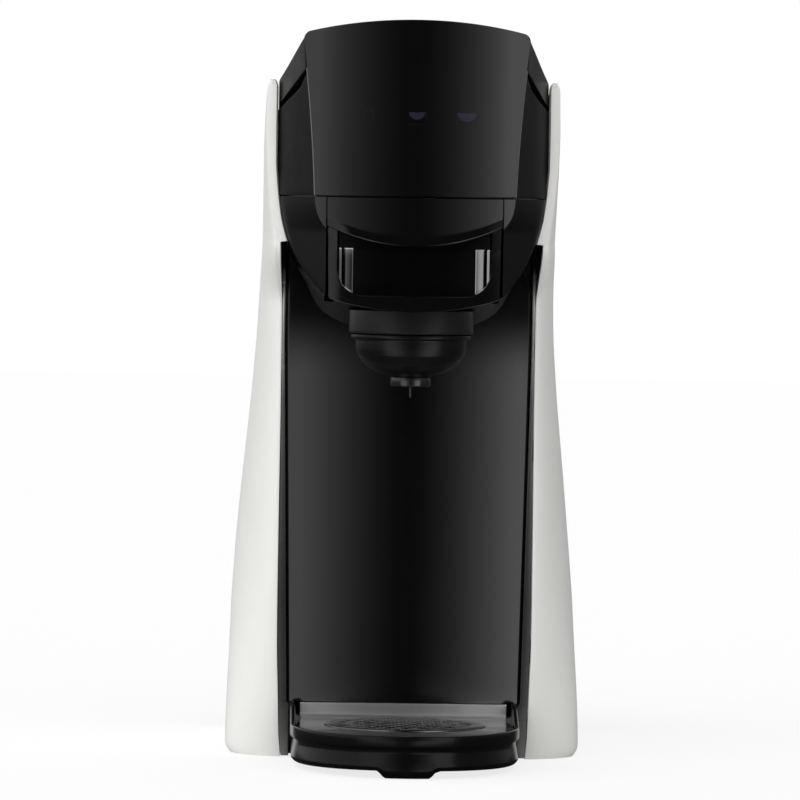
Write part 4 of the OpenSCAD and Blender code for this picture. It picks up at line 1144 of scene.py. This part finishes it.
@dataclass
class SideShells(Assembly):
    """The two satin white shells, each a curved wall from the arm beside the head to the table."""

    looks: ClassVar = ((WHITE_SATIN, "root", "right_shell"), (WHITE_SATIN, "root", "left_shell"))
    wall: float = 3.2
    back_y: float = 93.0
    foot_z: float = 0.2
    front_top: float = 292.0
    step_z: float = 223.4
    arm_y: float = -108.0
    flange_y: float = -66.0
    under_z: float = 196.0
    under_run: float = 26.5
    bend: float = 0.75
    arm_roll: float = 1.6
    wide_y: float = 20.0
    wide_head: float = 40.0
    wide_foot: float = 62.0
    rear_in: float = 2.5
    foot_in: float = 2.4
    foot_run: float = 5.0
    round_z: Stations = (288.5, 289.8, 291.0, 291.7, 292.0)
    round_in: Stations = (0.0, 0.15, 0.6, 1.1, 1.6)
    outer_z: Stations = (0, 10, 26, 47, 68, 89, 105, 121, 137, 153, 180, 195, 223, 243, 264, 285, 296)
    outer_x: Stations = (77, 77, 76.6, 75.8, 75.2, 73.9, 72.6, 71.1, 69.5, 67.9, 65.8, 65.0, 63.6, 63.6,
                         63.6, 63.0, 62.6)
    inner_z: Stations = (0, 10, 26, 47, 69, 110, 150, 195, 214, 222.95, 223.4, 228, 233, 243, 255, 300)
    inner_x: Stations = (52.9, 53.8, 54.2, 54.9, 55.0, 54.9, 54.7, 54.7, 55.4, 55.7, 52.5, 53.9, 55.2,
                         56.6, 57.6, 57.6)
    rim_z: Stations = (0, 200, 223.5, 239, 254, 271, 290, 300)
    rim_x: Stations = (60.0, 58.5, 57.2, 60.0, 61.6, 62.4, 62.1, 61.6)

    def top(self, y: Array) -> Array:
        """Height of the top edge: it falls behind the arm's tip, then runs nearly level."""
        return np.maximum(self.front_top + (self.arm_y - y) * 0.264, 275.5 - (y + 37) * 0.07)

    def arm(self, z: Array) -> Array:
        """1 where the arm stands out to the front and 0 below the sweep under it."""
        return smooth((z - self.under_z) / self.under_run)

    def front(self, z: Array) -> Array:
        """Depth of the front edge: at the arm's tip above its underside, then swept back to the column."""
        return self.flange_y + (self.arm_y - self.flange_y) * self.arm(z)

    def outside(self, u: Array, t: Array) -> Array:
        """A point of the outer face.

        u runs from 0 at the rim's outer corner to 1 at the rear and t from foot to top. The
        plan curve leaves the rim and bends like a quarter ellipse to the widest place, then
        draws in a little towards the rear.

        Args:
            u: place along the plan curve.
            t: place up the wall.
        Returns:
            Points of the outer face.
        """
        zf = self.foot_z + t * (self.front_top - self.foot_z)
        ye = self.front(zf)
        # Depth of the widest place: further forward at the foot and beside the head.
        wide = self.wide_y - self.wide_head * smooth((zf - 170) / 60)
        wide = np.maximum(wide - self.wide_foot * (1 - smooth(zf / 110)), ye + 22)
        q = np.minimum(1, u / self.bend) * QUARTER
        bent = ye + (wide - ye) * (1 - np.cos(q))
        y = np.where(u < self.bend, bent, wide + (self.back_y - wide) * (u - self.bend) / (1 - self.bend))
        above = np.maximum(0, zf - self.step_z) / (self.front_top - self.step_z)
        z = np.minimum(zf, self.step_z) + above * (self.top(y) - self.step_z)
        xe = np.interp(zf, self.rim_z, self.rim_x)
        arm = self.arm(zf)
        xe = xe * arm + np.interp(zf, self.inner_z, self.inner_x) * (1 - arm) + 0.5 * (1 - arm)
        xo = np.interp(z, self.outer_z, self.outer_x)
        xo = xo - self.rear_in * np.maximum(0, (y - wide) / (self.back_y - wide)) ** 2
        foot = self.foot_in * (1 - np.minimum(1, z / self.foot_run)) ** 2
        x = xe + (xo - xe) * np.sin(q) ** (1.25 - 0.25 * arm) - foot * np.sin(q)
        return stack(x, y, z)

    def ring(self, t: Array) -> Array:
        """The closed plan outline at each height: rim face, outer face, rear edge and inner face."""
        u = np.concatenate([np.linspace(0, 0.06, 6)[:-1], np.linspace(0.06, 1, 44)])[None, :]
        outer = self.outside(u, t)
        ahead = self.outside(np.minimum(1, u + 0.01), t)[..., :2]
        behind = self.outside(np.maximum(0, u - 0.01), t)[..., :2]
        d = ahead - behind
        d = d / np.linalg.norm(d, axis=-1, keepdims=True)
        inner = outer.copy()
        inner[..., 0] -= self.wall * d[..., 1]
        inner[..., 1] += self.wall * d[..., 0]
        zf = self.foot_z + t * (self.front_top - self.foot_z)
        rim = np.interp(zf, self.inner_z, self.inner_x)
        wall = np.maximum(inner[..., 0], rim)
        open_in = np.where(zf > 223, smooth((inner[..., 1] + 30.0) / 20.0), 1.0)
        inner[..., 0] = rim + (wall - rim) * open_in
        k = np.linspace(0, 1, 7)[None, ::-1]
        tip = outer[:, :1]
        arm = self.arm(zf)
        width = tip[..., 0] - rim
        face_x = rim + width * k
        roll = np.clip((0.16 - k) / 0.16, 0, 1)
        face_y = tip[..., 1] - arm * self.arm_roll * np.sin(k * QUARTER + QUARTER) + (1.1 * roll ** 2)
        face = stack(face_x, face_y, tip[..., 2] + 0 * k)[:, 1:]
        side = stack(rim + 0 * t, tip[..., 1] + 4.0, tip[..., 2])
        back = np.concatenate([side, inner[:, 6:]], axis=1)[:, ::-1]
        return np.concatenate([outer, back, face[:, ::-1]], axis=1)

    def build(self) -> None:
        """Lofts the outline up the wall; rows lie closer where the arm's underside is."""
        zs = np.concatenate([np.linspace(self.foot_z, 9, 10), np.linspace(14, 190, 36),
                             np.linspace(194, 222.95, 22), [self.step_z, 224.2],
                             np.linspace(227, self.round_z[0], 22), self.round_z[1:]])
        t = ((zs - self.foot_z) / (self.front_top - self.foot_z))[:, None]
        points = self.ring(t)
        shrink = np.interp(zs, self.round_z, self.round_in)[:, None]
        middle = (points[..., 0].max(axis=1, keepdims=True) + points[..., 0].min(axis=1, keepdims=True)) / 2
        points[..., 0] += np.where(points[..., 0] > middle, -1, 1) * np.minimum(shrink, 1.5)
        for side, sign in SIDES:
            wall = Patch(points * np.array([sign, 1.0, 1.0]), wrap=True, caps=True)
            self.objects.append(finish_mesh(make_object(side + "_shell_wall", [wall], outward=True)))


@dataclass
class Column(Assembly):
    """The glossy column face and the two gunmetal strips beside it."""

    # The gunmetal trims carry painted reflection and painted shade by height.
    looks: ClassVar = (
        (PIANO_BLACK, "root", "column_cover"), (GUNMETAL, "root", "right_trim"),
        (GUNMETAL, "root", "left_trim"))
    face_y: float = -68.0
    radius: float = 487.0
    foot_z: float = 24.2
    top_z: float = 222.0
    return_y: float = -56.2
    roll: float = 1.6
    bar_y: float = -66.6
    bar_back: float = -56.4
    half_z: Stations = (24.0, 70.0, 180.0, 240.0)
    half_x: Stations = (50.2, 51.1, 53.1, 53.1)
    bar_z: Stations = (0.0, 10.0, 26.0, 47.0, 69.0, 110.0, 150.0, 195.0, 219.0)
    bar_x: Stations = (52.7, 53.6, 54.0, 54.7, 54.8, 54.7, 54.5, 54.5, 55.2)

    def half(self, z: Array | float) -> Array:
        """Half width of the face at a height."""
        return np.interp(z, self.half_z, self.half_x)

    def arc_y(self, x: Array) -> Array:
        """Depth of the face: a wide circle."""
        return self.face_y + self.radius - np.sqrt(self.radius ** 2 - x ** 2)

    def build(self) -> None:
        """The face: a wide arc across with rolled edges that turn back to the chassis."""
        u = dense_ends(97)
        z = np.linspace(self.foot_z, self.top_z, 60)[:, None]
        half = self.half(z)
        arc = (half - self.roll) * u[None, :]
        a = np.linspace(0, QUARTER, 8)[1:][None, :]
        edge_y = self.arc_y(half - self.roll)
        rx = half - self.roll + self.roll * np.sin(a)
        ry = edge_y + self.roll - self.roll * np.cos(a)
        rx = np.concatenate([rx, half], axis=1)
        ry = np.concatenate([ry, 0 * half + self.return_y], axis=1)
        x = np.concatenate([-rx[:, ::-1], arc, rx], axis=1)
        y = np.concatenate([ry[:, ::-1], self.arc_y(arc), ry], axis=1)
        face = make_object("column_face", [Patch(stack(x, y, z))])
        self.objects.append(finish_mesh(face, wall=2.2))
        for side, sign in SIDES:
            self.objects.append(self.strip(side + "_strip", sign))

    def strip(self, name: str, sign: float) -> Object:
        """A tapered bar with rounded front corners between the face and a shell."""
        z = np.concatenate([[0.6, 1.2], np.linspace(4, 22.8, 12), np.linspace(24.2, 223.2, 60)])[:, None]
        inner = np.where(z < 24, 49.4, self.half(z) + 0.3)
        outer = np.interp(z, self.bar_z, self.bar_x)
        r = np.minimum(0.5, (outer - inner) * 0.45)
        a = np.linspace(0, QUARTER, 5)[None, :]
        back = 0 * inner + self.bar_back
        left_x, right_x = inner + r - r * np.sin(a[:, ::-1]), outer - r + r * np.sin(a)
        left_y, right_y = (self.bar_y + r - r * np.cos(b) for b in (a[:, ::-1], a))
        x = np.concatenate([inner, left_x, right_x, outer], axis=1)
        y = np.concatenate([back, left_y, right_y, back], axis=1)
        bar = Patch(stack(x * sign, y, z), wrap=True, caps=True)
        return finish_mesh(make_object(name, [bar], outward=True))


@dataclass
class Spout(Assembly):
    """Collar, bowl, nozzle and needle of the outlet, all turned about one upright axis."""

    looks: ClassVar = (
        (COLLAR_BLACK, "root", "spout_collar"), (OUTLET_BLACK, "root", "spout_bowl"),
        (NOZZLE_DARK, "root", "nozzle"), (NOZZLE_DARK, "root", "outlet_pin"))
    axis_y: float = -120.0
    profiles: ClassVar[dict[str, tuple[float, Profile]]] = {
        "outlet_collar": (0.5, [
            (6.2, 195.0), (26.2, 195.0), (26.3, 190.0), (26.3, 185.5), (25.6, 184.9), (22.5, 184.9),
            (22.5, 191.0), (6.2, 191.0), (6.2, 195.0)]),
        "outlet_bowl": (0.35, [
            (6.2, 184.5), (25.5, 184.5), (25.5, 183.1), (24.9, 182.7), (23.6, 182.5), (23.5, 181.6),
            (23.5, 181.0), (23.3, 178.2), (22.6, 175.7), (20.9, 173.2), (18.9, 171.2), (16.3, 169.4),
            (12.9, 167.9), (8.9, 166.8), (8.2, 166.6), (6.2, 166.6), (6.2, 184.5)]),
        "outlet_nozzle": (0.25, [
            (6.0, 166.5), (8.5, 166.5), (8.55, 165.0), (8.5, 162.9), (7.9, 162.5), (6.6, 162.4),
            (5.2, 162.7), (5.2, 163.4), (6.0, 163.8), (6.0, 166.5)]),
        "outlet_needle": (0.12, [
            (0.0, 162.6), (0.45, 162.6), (0.45, 158.2), (0.25, 157.65), (0.0, 157.6)]),
    }

    def build(self) -> None:
        """Each piece is its profile, rounded by its radius and turned about the axis."""
        for name, (radius, corners) in self.profiles.items():
            turned = lathe(rounded_profile(corners, radius), self.axis_y)
            self.objects.append(finish_mesh(make_object(name, [turned], outward=True)))


@dataclass
class Tray(Assembly):
    """The drip tray with its nose, the cup plate with its upturned flange, and the round grille."""

    # The flange's lighter steel is painted reflection.
    looks: ClassVar = (
        (TRAY_BLACK, "tray", "drip_tray"), (STEEL_POLISHED, "cup_stand", "cup_plate"),
        (STEEL_PAINTED_BRIGHT, "cup_stand"), (STEEL_DARK, "cup_stand", "grille"))
    half: float = 48.9
    centre_y: float = -107.0
    front_y: float = -172.0
    rear_y: float = -69.0
    rim_z: float = 17.8
    rail_z: float = 24.8
    band_z: float = 12.4
    nose_drop: float = 3.15
    nose_half: float = 13.0
    nose_y: float = -140.0
    sag: float = 1.2
    grille_y: float = -106.5
    grille_r: float = 34.2
    plate_z: float = 16.4
    plate_half: float = 45.0
    oval_half: float = 46.6
    flange_half: float = 44.6

    def plan(self, inset: float | Array, count: int = 120) -> tuple[Array, Array]:
        """The outline from above: two straight sides and a half ellipse in front, drawn in by inset.

        Args:
            inset: how far the outline is drawn in; a column of values gives one outline each.
            count: points along the ellipse.
        Returns:
            x and y along the outline, from the rear right corner round the front to the rear left.
        """
        inset = np.asarray(inset, float).reshape(-1, 1)
        a = self.half - inset
        b = self.centre_y - self.front_y - inset
        t = np.linspace(0, math.pi, count)[None, :]
        side = np.linspace(1, 0, 9)[None, :-1]
        straight = self.centre_y + (self.rear_y - self.centre_y) * side
        x = np.concatenate([a + 0 * side, a * np.cos(t), -a + 0 * side], axis=1)
        straight = straight + 0 * a
        y = np.concatenate([straight, self.centre_y - b * np.sin(t), straight[:, ::-1]], axis=1)
        return x, y

    def build(self) -> None:
        """The tray's wall is one profile of (inset, height) carried round the outline.

        Towards the rear corners it rises to the rails, and its foot drops at the nose and sags
        with x squared beside it.
        """
        p = np.array(rounded_profile([
            (5.2, 5.6), (5.2, 14.6), (2.4, 15.6), (2.3, 16.6), (1.7, self.rim_z), (0.15, self.rim_z),
            (0.0, 16.6), (0.0, 13.1), (1.3, 12.2), (1.4, 10.6), (0.8, 7.2), (0.3, 4.6), (1.9, 3.3),
            (9.0, 3.25)], 0.7))
        x, y = self.plan(p[:, 0])
        z = p[:, 1:2] + 0 * x
        rise = smooth((y + 112.0) / 36.0) * smooth((np.abs(x) - 40.0) / 4.0)
        share = np.clip((z - self.band_z) / (self.rim_z - self.band_z), 0, 1)
        z = z + share * rise * (self.rail_z - self.rim_z)
        low = np.clip((7.2 - z) / 3.9, 0, 1)
        nose = smooth((self.nose_half - np.abs(x)) / 4.0) * smooth((self.nose_y - y) / 12.0)
        sag = self.sag * (np.abs(x) / self.half) ** 2
        z = z - low * (nose * self.nose_drop + (1 - nose) * sag)
        wall = Patch(stack(x, y, z))
        tray = make_object("tray_body", [wall, self.fill(wall.points[0]), self.fill(wall.points[-1])])
        with editing(tray.data) as edit:
            bmesh.ops.holes_fill(edit, edges=[e for e in edit.edges if e.is_boundary], sides=0)
        self.objects += [finish_mesh(tray, recalc=True), self.plate(), self.flange(),
                         refined("grille", 0.35, "grille_disc")]

    @staticmethod
    def fill(edge: Array) -> Patch:
        """A floor: each outline point joined straight to its mirror point."""
        half = len(edge) // 2
        a, b = edge[:half], edge[::-1][:half]
        t = np.linspace(0, 1, 25)[None, :, None]
        return Patch(a[:, None] * (1 - t) + b[:, None] * t)

    def plate(self) -> Object:
        """The cup plate: rays from the grille's centre, from its round hole to the tray's outline."""
        a = np.linspace(0, 2 * math.pi, 361)[:-1]
        c, s = np.cos(a), np.sin(a)
        b = self.grille_y - self.front_y - 2.2
        ellipse = 1 / np.sqrt((c / self.oval_half) ** 2 + (s / b) ** 2)
        sides = self.plate_half / np.maximum(np.abs(c), 1e-6)
        rear = (self.rear_y - 1.4 - self.grille_y) / np.maximum(s, 1e-6)
        out = np.where(s > 0, np.minimum(sides, rear), ellipse)
        out = np.where(s <= 0, np.minimum(out, np.where(np.abs(s * out) < 8, sides, out)), out)[None, :]
        hole = self.grille_r + 0.35
        z0, z1 = self.plate_z, self.plate_z + 1.2
        steps = [(hole, z0), (hole, z1 - 0.35), (hole + 0.35, z1), (0.0, z1), (-0.3, z1 - 0.05),
                 (-0.5, z1 - 0.4), (-0.5, z0), (hole, z0)]
        rows = []
        for r, z in steps:
            reach = out + r if r <= 0 else r + 0 * out
            rows.append(stack(reach * c, self.grille_y + reach * s, z + 0 * reach)[0])
        plate = make_object("cup_plate_top", [Patch(np.stack(rows), wrap=True)], outward=True)
        return finish_mesh(plate)

    def flange(self) -> Object:
        """The plate's rear edge: a strip that turns up through a small bend."""
        a = np.linspace(0, QUARTER, 9)
        end, low, bend = self.rear_y - 0.5, self.plate_z + 1.25, 2.0
        y = np.concatenate([[self.rear_y - 8.0], end - bend + bend * np.sin(a), [end] * 3])
        z = np.concatenate([[low], low + bend - bend * np.cos(a), [21.0, 23.3, 24.0]])
        x = dense_ends(41)[None, :] * self.flange_half
        strip = make_object("plate_flange", [Patch(stack(x, y[:, None], z[:, None]))])
        return finish_mesh(strip, wall=0.8, edge=0.25, segments=2)


# ------------------------------------------------------------------ pieces kept from the frame


ROUNDED = {
    "top_cover": (SATIN_BLACK, 1.0), "rear_cover": (SATIN_BLACK, 0.6), "base_plate": (SATIN_BLACK, 0.5),
    "tank_dock": (SATIN_BLACK, 0.8), "tank_lid": (SATIN_BLACK, 0.7), "water_tank": (TANK, 0.8),
    "drawer_carriage": (SATIN_BLACK, 0.4), "capsule_cup": (STEEL, 0.3), "feet": (RUBBER, 0.5),
    "cord_gland": (RUBBER, 0.4), "brew_yoke": (FRAME_GREY, 0.4), "brew_frame": (CAST, 0.4),
    "lever_cams": (STEEL, 0.3), "thermoblock": (CAST, 0.6), "pump": (BRASS, 0.5),
    "chassis": (FRAME_GREY, 0.4),
}
PLAIN = {
    STEEL: ("lever_shaft", "guide_posts", "yoke_pins", "brew_piston", "feed_tube", "lid_pins", "tank_valve",
            "base_screws", "cover_screws"),
    SEAL: ("piston_seal", "dock_seal"), BOARD: ("touch_board", "control_board"), RUBBER: ("pump_mounts",),
    NATURAL: ("flow_meter",), HOSE: ("suction_hose", "pressure_hose", "brew_hose"),
}


def body_of(node: str) -> str:
    """The body that a frame node belongs to."""
    bodies = FRAME["record"]["behaviour"]["bodies"]
    return next(body for body, nodes in bodies.items() if node in nodes)


def dress_frame() -> None:
    """Rounds and finishes the frame's own pieces, inside and out."""
    for node, (finish, edge) in ROUNDED.items():
        dress(refined(node, edge), finish, body_of(node), node)
    for finish, nodes in PLAIN.items():
        for node in nodes:
            materials = FRAME["nodes"][node].data.materials
            materials.clear()
            materials.append(finish.material())


# ------------------------------------------------------------------ studio


@dataclass
class Camera:
    """The viewpoint, worked out from the vanishing line and the sizes of the near and far parts."""

    focal_px: float = 6580.0
    frame_px: float = 800.0
    sensor: float = 36.0
    distance: float = 2908.0
    height: float = 242.3
    yaw: float = 1.15
    aside_px: float = 4.5
    horizon_px: float = 202.0
    roll: float = 0.84

    def build(self) -> Object:
        """Sets the camera: aimed past the origin by aside_px, pitched and rolled."""
        yaw = math.radians(self.yaw)
        place = Vector((-math.sin(yaw) * self.distance, -math.cos(yaw) * self.distance, self.height))
        turn = yaw - math.atan(self.aside_px / self.focal_px)
        pitch = math.atan(self.horizon_px / self.focal_px)
        ahead = Vector((math.sin(turn) * math.cos(pitch), math.cos(turn) * math.cos(pitch), -math.sin(pitch)))
        level = ahead.cross(Vector((0, 0, 1))).normalized()
        over = level.cross(ahead)
        roll = math.radians(self.roll)
        right = level * math.cos(roll) + over * math.sin(roll)
        up = over * math.cos(roll) - level * math.sin(roll)
        turned = Matrix((right, up, -ahead)).transposed().to_4x4()
        data = bpy.data.cameras.new("view")
        data.sensor_width, data.lens = self.sensor, self.focal_px * self.sensor / self.frame_px
        data.clip_start, data.clip_end = 0.1, 50.0
        camera = new_object("view", data)
        camera.matrix_world = Matrix.Translation(place * MM) @ turned
        bpy.context.scene.camera = camera
        return camera


@dataclass
class Studio:
    """A pale floor, a soft surround and a graded reflector card that only gloss sees."""

    ambient: float = 0.88
    from_front: float = 0.36
    from_left: float = 0.48
    gloss: float = 0.30
    gloss_left: float = 0.20
    floor_half: float = 6000.0
    card_y: float = -275.0
    card_half: float = 230.0
    card_z: tuple[float, float] = (0.3, 420.0)

    def build(self) -> None:
        """Floor, world and card."""
        self.world()
        self.floor()
        self.card()

    def world(self) -> None:
        """White for the camera; for light, a soft surround brighter from the front and left.

        Gloss sees a dimmer one that is nearly dark straight in front.
        """
        world = bpy.data.worlds.new("surround")
        bpy.context.scene.world = world
        n = own_nodes(world)
        back = world.node_tree.nodes["Background"]
        x, y, _ = n.parts(n.add("ShaderNodeTexCoord").outputs["Generated"])
        path = n.add("ShaderNodeLightPath")
        level = n.less(n.less(self.ambient, n.times(x, self.from_left)), n.times(y, self.from_front))
        toward = n.step(n.times(y, -1.0), 0.90, 0.985)
        shine = n.times(n.less(self.gloss, n.times(x, self.gloss_left)), n.less(1.0, n.times(toward, 0.92)))
        mixed = n.blend(path.outputs["Is Glossy Ray"], level, shine)
        clear = n.math("MAXIMUM", path.outputs["Is Camera Ray"], path.outputs["Is Transmission Ray"])
        n.put(back, "Color", n.blend(clear, mixed, (1.0, 1.0, 1.0, 1.0)))
        back.inputs["Strength"].default_value = 1.0

    def floor(self) -> None:
        """A pale floor that keeps a light shadow and looks white to the camera."""
        x, y = np.meshgrid(*[np.linspace(-self.floor_half, self.floor_half, 5)] * 2)
        floor = make_object("floor", [Patch(stack(x, y, 0 * x - 0.05))])
        made = bpy.data.materials.new("pale_floor")
        n = own_nodes(made)
        shader = made.node_tree.nodes["Principled BSDF"]
        path = n.add("ShaderNodeLightPath")
        pale, in_gloss = (*grey(0.88), 1.0), (*grey(0.05), 1.0)
        n.put(shader, "Base Color", n.blend(path.outputs["Is Glossy Ray"], pale, in_gloss))
        shader.inputs["Roughness"].default_value = 0.9
        shader.inputs["Specular IOR Level"].default_value = 0.0
        glow = n.add("ShaderNodeEmission", Color=(1.0, 1.0, 1.0, 1.0), Strength=1.06)
        mix = n.add("ShaderNodeMixShader")
        for key, value in enumerate((n.times(path.outputs["Is Camera Ray"], 0.75), shader.outputs[0],
                                     glow.outputs[0])):
            n.put(mix, key, value)
        n.put(made.node_tree.nodes["Material Output"], "Surface", mix.outputs[0])
        floor.data.materials.append(made)

    def card(self) -> None:
        """A reflector in front of the machine that only gloss sees, from the floor up past the head."""
        x, z = np.meshgrid(np.linspace(-self.card_half, self.card_half, 9), np.linspace(*self.card_z, 9))
        card = make_object("graded_card", [Patch(stack(x, self.card_y + 0 * x, z))])
        made = bpy.data.materials.new("graded_card")
        n = own_nodes(made)
        n.tree.nodes.remove(n.tree.nodes["Principled BSDF"])
        glow = n.add("ShaderNodeEmission", Strength=self.card_level(n))
        n.put(n.tree.nodes["Material Output"], "Surface", glow.outputs[0])
        card.data.materials.append(made)
        card.visible_camera = False
        card.visible_diffuse = False
        card.visible_shadow = False
        card.visible_transmission = False
        card.visible_volume_scatter = False

    @staticmethod
    def card_level(n: Nodes) -> Socket:
        """The card's brightness: dark in the middle and bright to the sides.

        It grows with the square of the distance from the middle line. The dark middle is wider
        beside the head. A dark band with lit flanks lies level with the spout, and a strip at the
        foot lights the tray and the plate's flange. Places on the card are in metres.

        Args:
            n: helper of the card's nodes.
        Returns:
            The emission strength.
        """
        across, _, up = n.parts(n.place())
        head = n.step(up, 0.205, 0.232)
        off = n.less(across, n.times(n.less(1.0, head), 0.006))
        share = n.math("DIVIDE", n.math("ABSOLUTE", off), n.plus(0.086, n.times(head, 0.052)))
        level = n.math("MINIMUM", n.times(n.math("POWER", share, 2.0), 0.86), 0.95)
        left = n.less(0.70, n.times(head, 0.10))
        right = n.less(0.95, n.times(head, 0.08))
        level = n.times(level, n.plus(left, n.times(n.step(off, -0.02, 0.02), n.less(right, left))))
        beside = n.times(across, -1.0)
        spout = n.times(n.step(up, 0.158, 0.190), n.less(1.0, n.step(up, 0.217, 0.228)))
        flank_left = n.times(n.step(beside, 0.096, 0.112), 0.36)
        flank_right = n.times(n.step(across, 0.106, 0.150), 0.11)
        level = n.between(spout, level, n.plus(flank_left, flank_right))
        foot = n.less(1.0, n.step(up, 0.0072, 0.0092))
        foot_right = n.times(n.step(across, 0.004, 0.034), 1.6)
        foot_left = n.times(n.step(beside, 0.010, 0.050), 0.9)
        return n.between(foot, level, n.plus(0.07, n.plus(foot_right, foot_left)))


# ------------------------------------------------------------------ main

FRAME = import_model()


def main() -> None:
    """Builds the studio and every sub-assembly in order."""
    logging.basicConfig(level=logging.INFO, format="%(message)s")
    bpy.context.scene.view_settings.view_transform = "Standard"
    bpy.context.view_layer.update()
    Camera().build()
    Studio().build()
    head = HeadShape()
    for part in (SideShells(), Column(), FrontPanel(head), LeverCap(head), Drawer(head),
                 UpperHousing(head), LowerHousing(head), Spout(), Tray()):
        part.build()
        part.dress()
        LOG.info("%s is done", type(part).__name__)
    dress_frame()


if __name__ == "__main__":
    main()
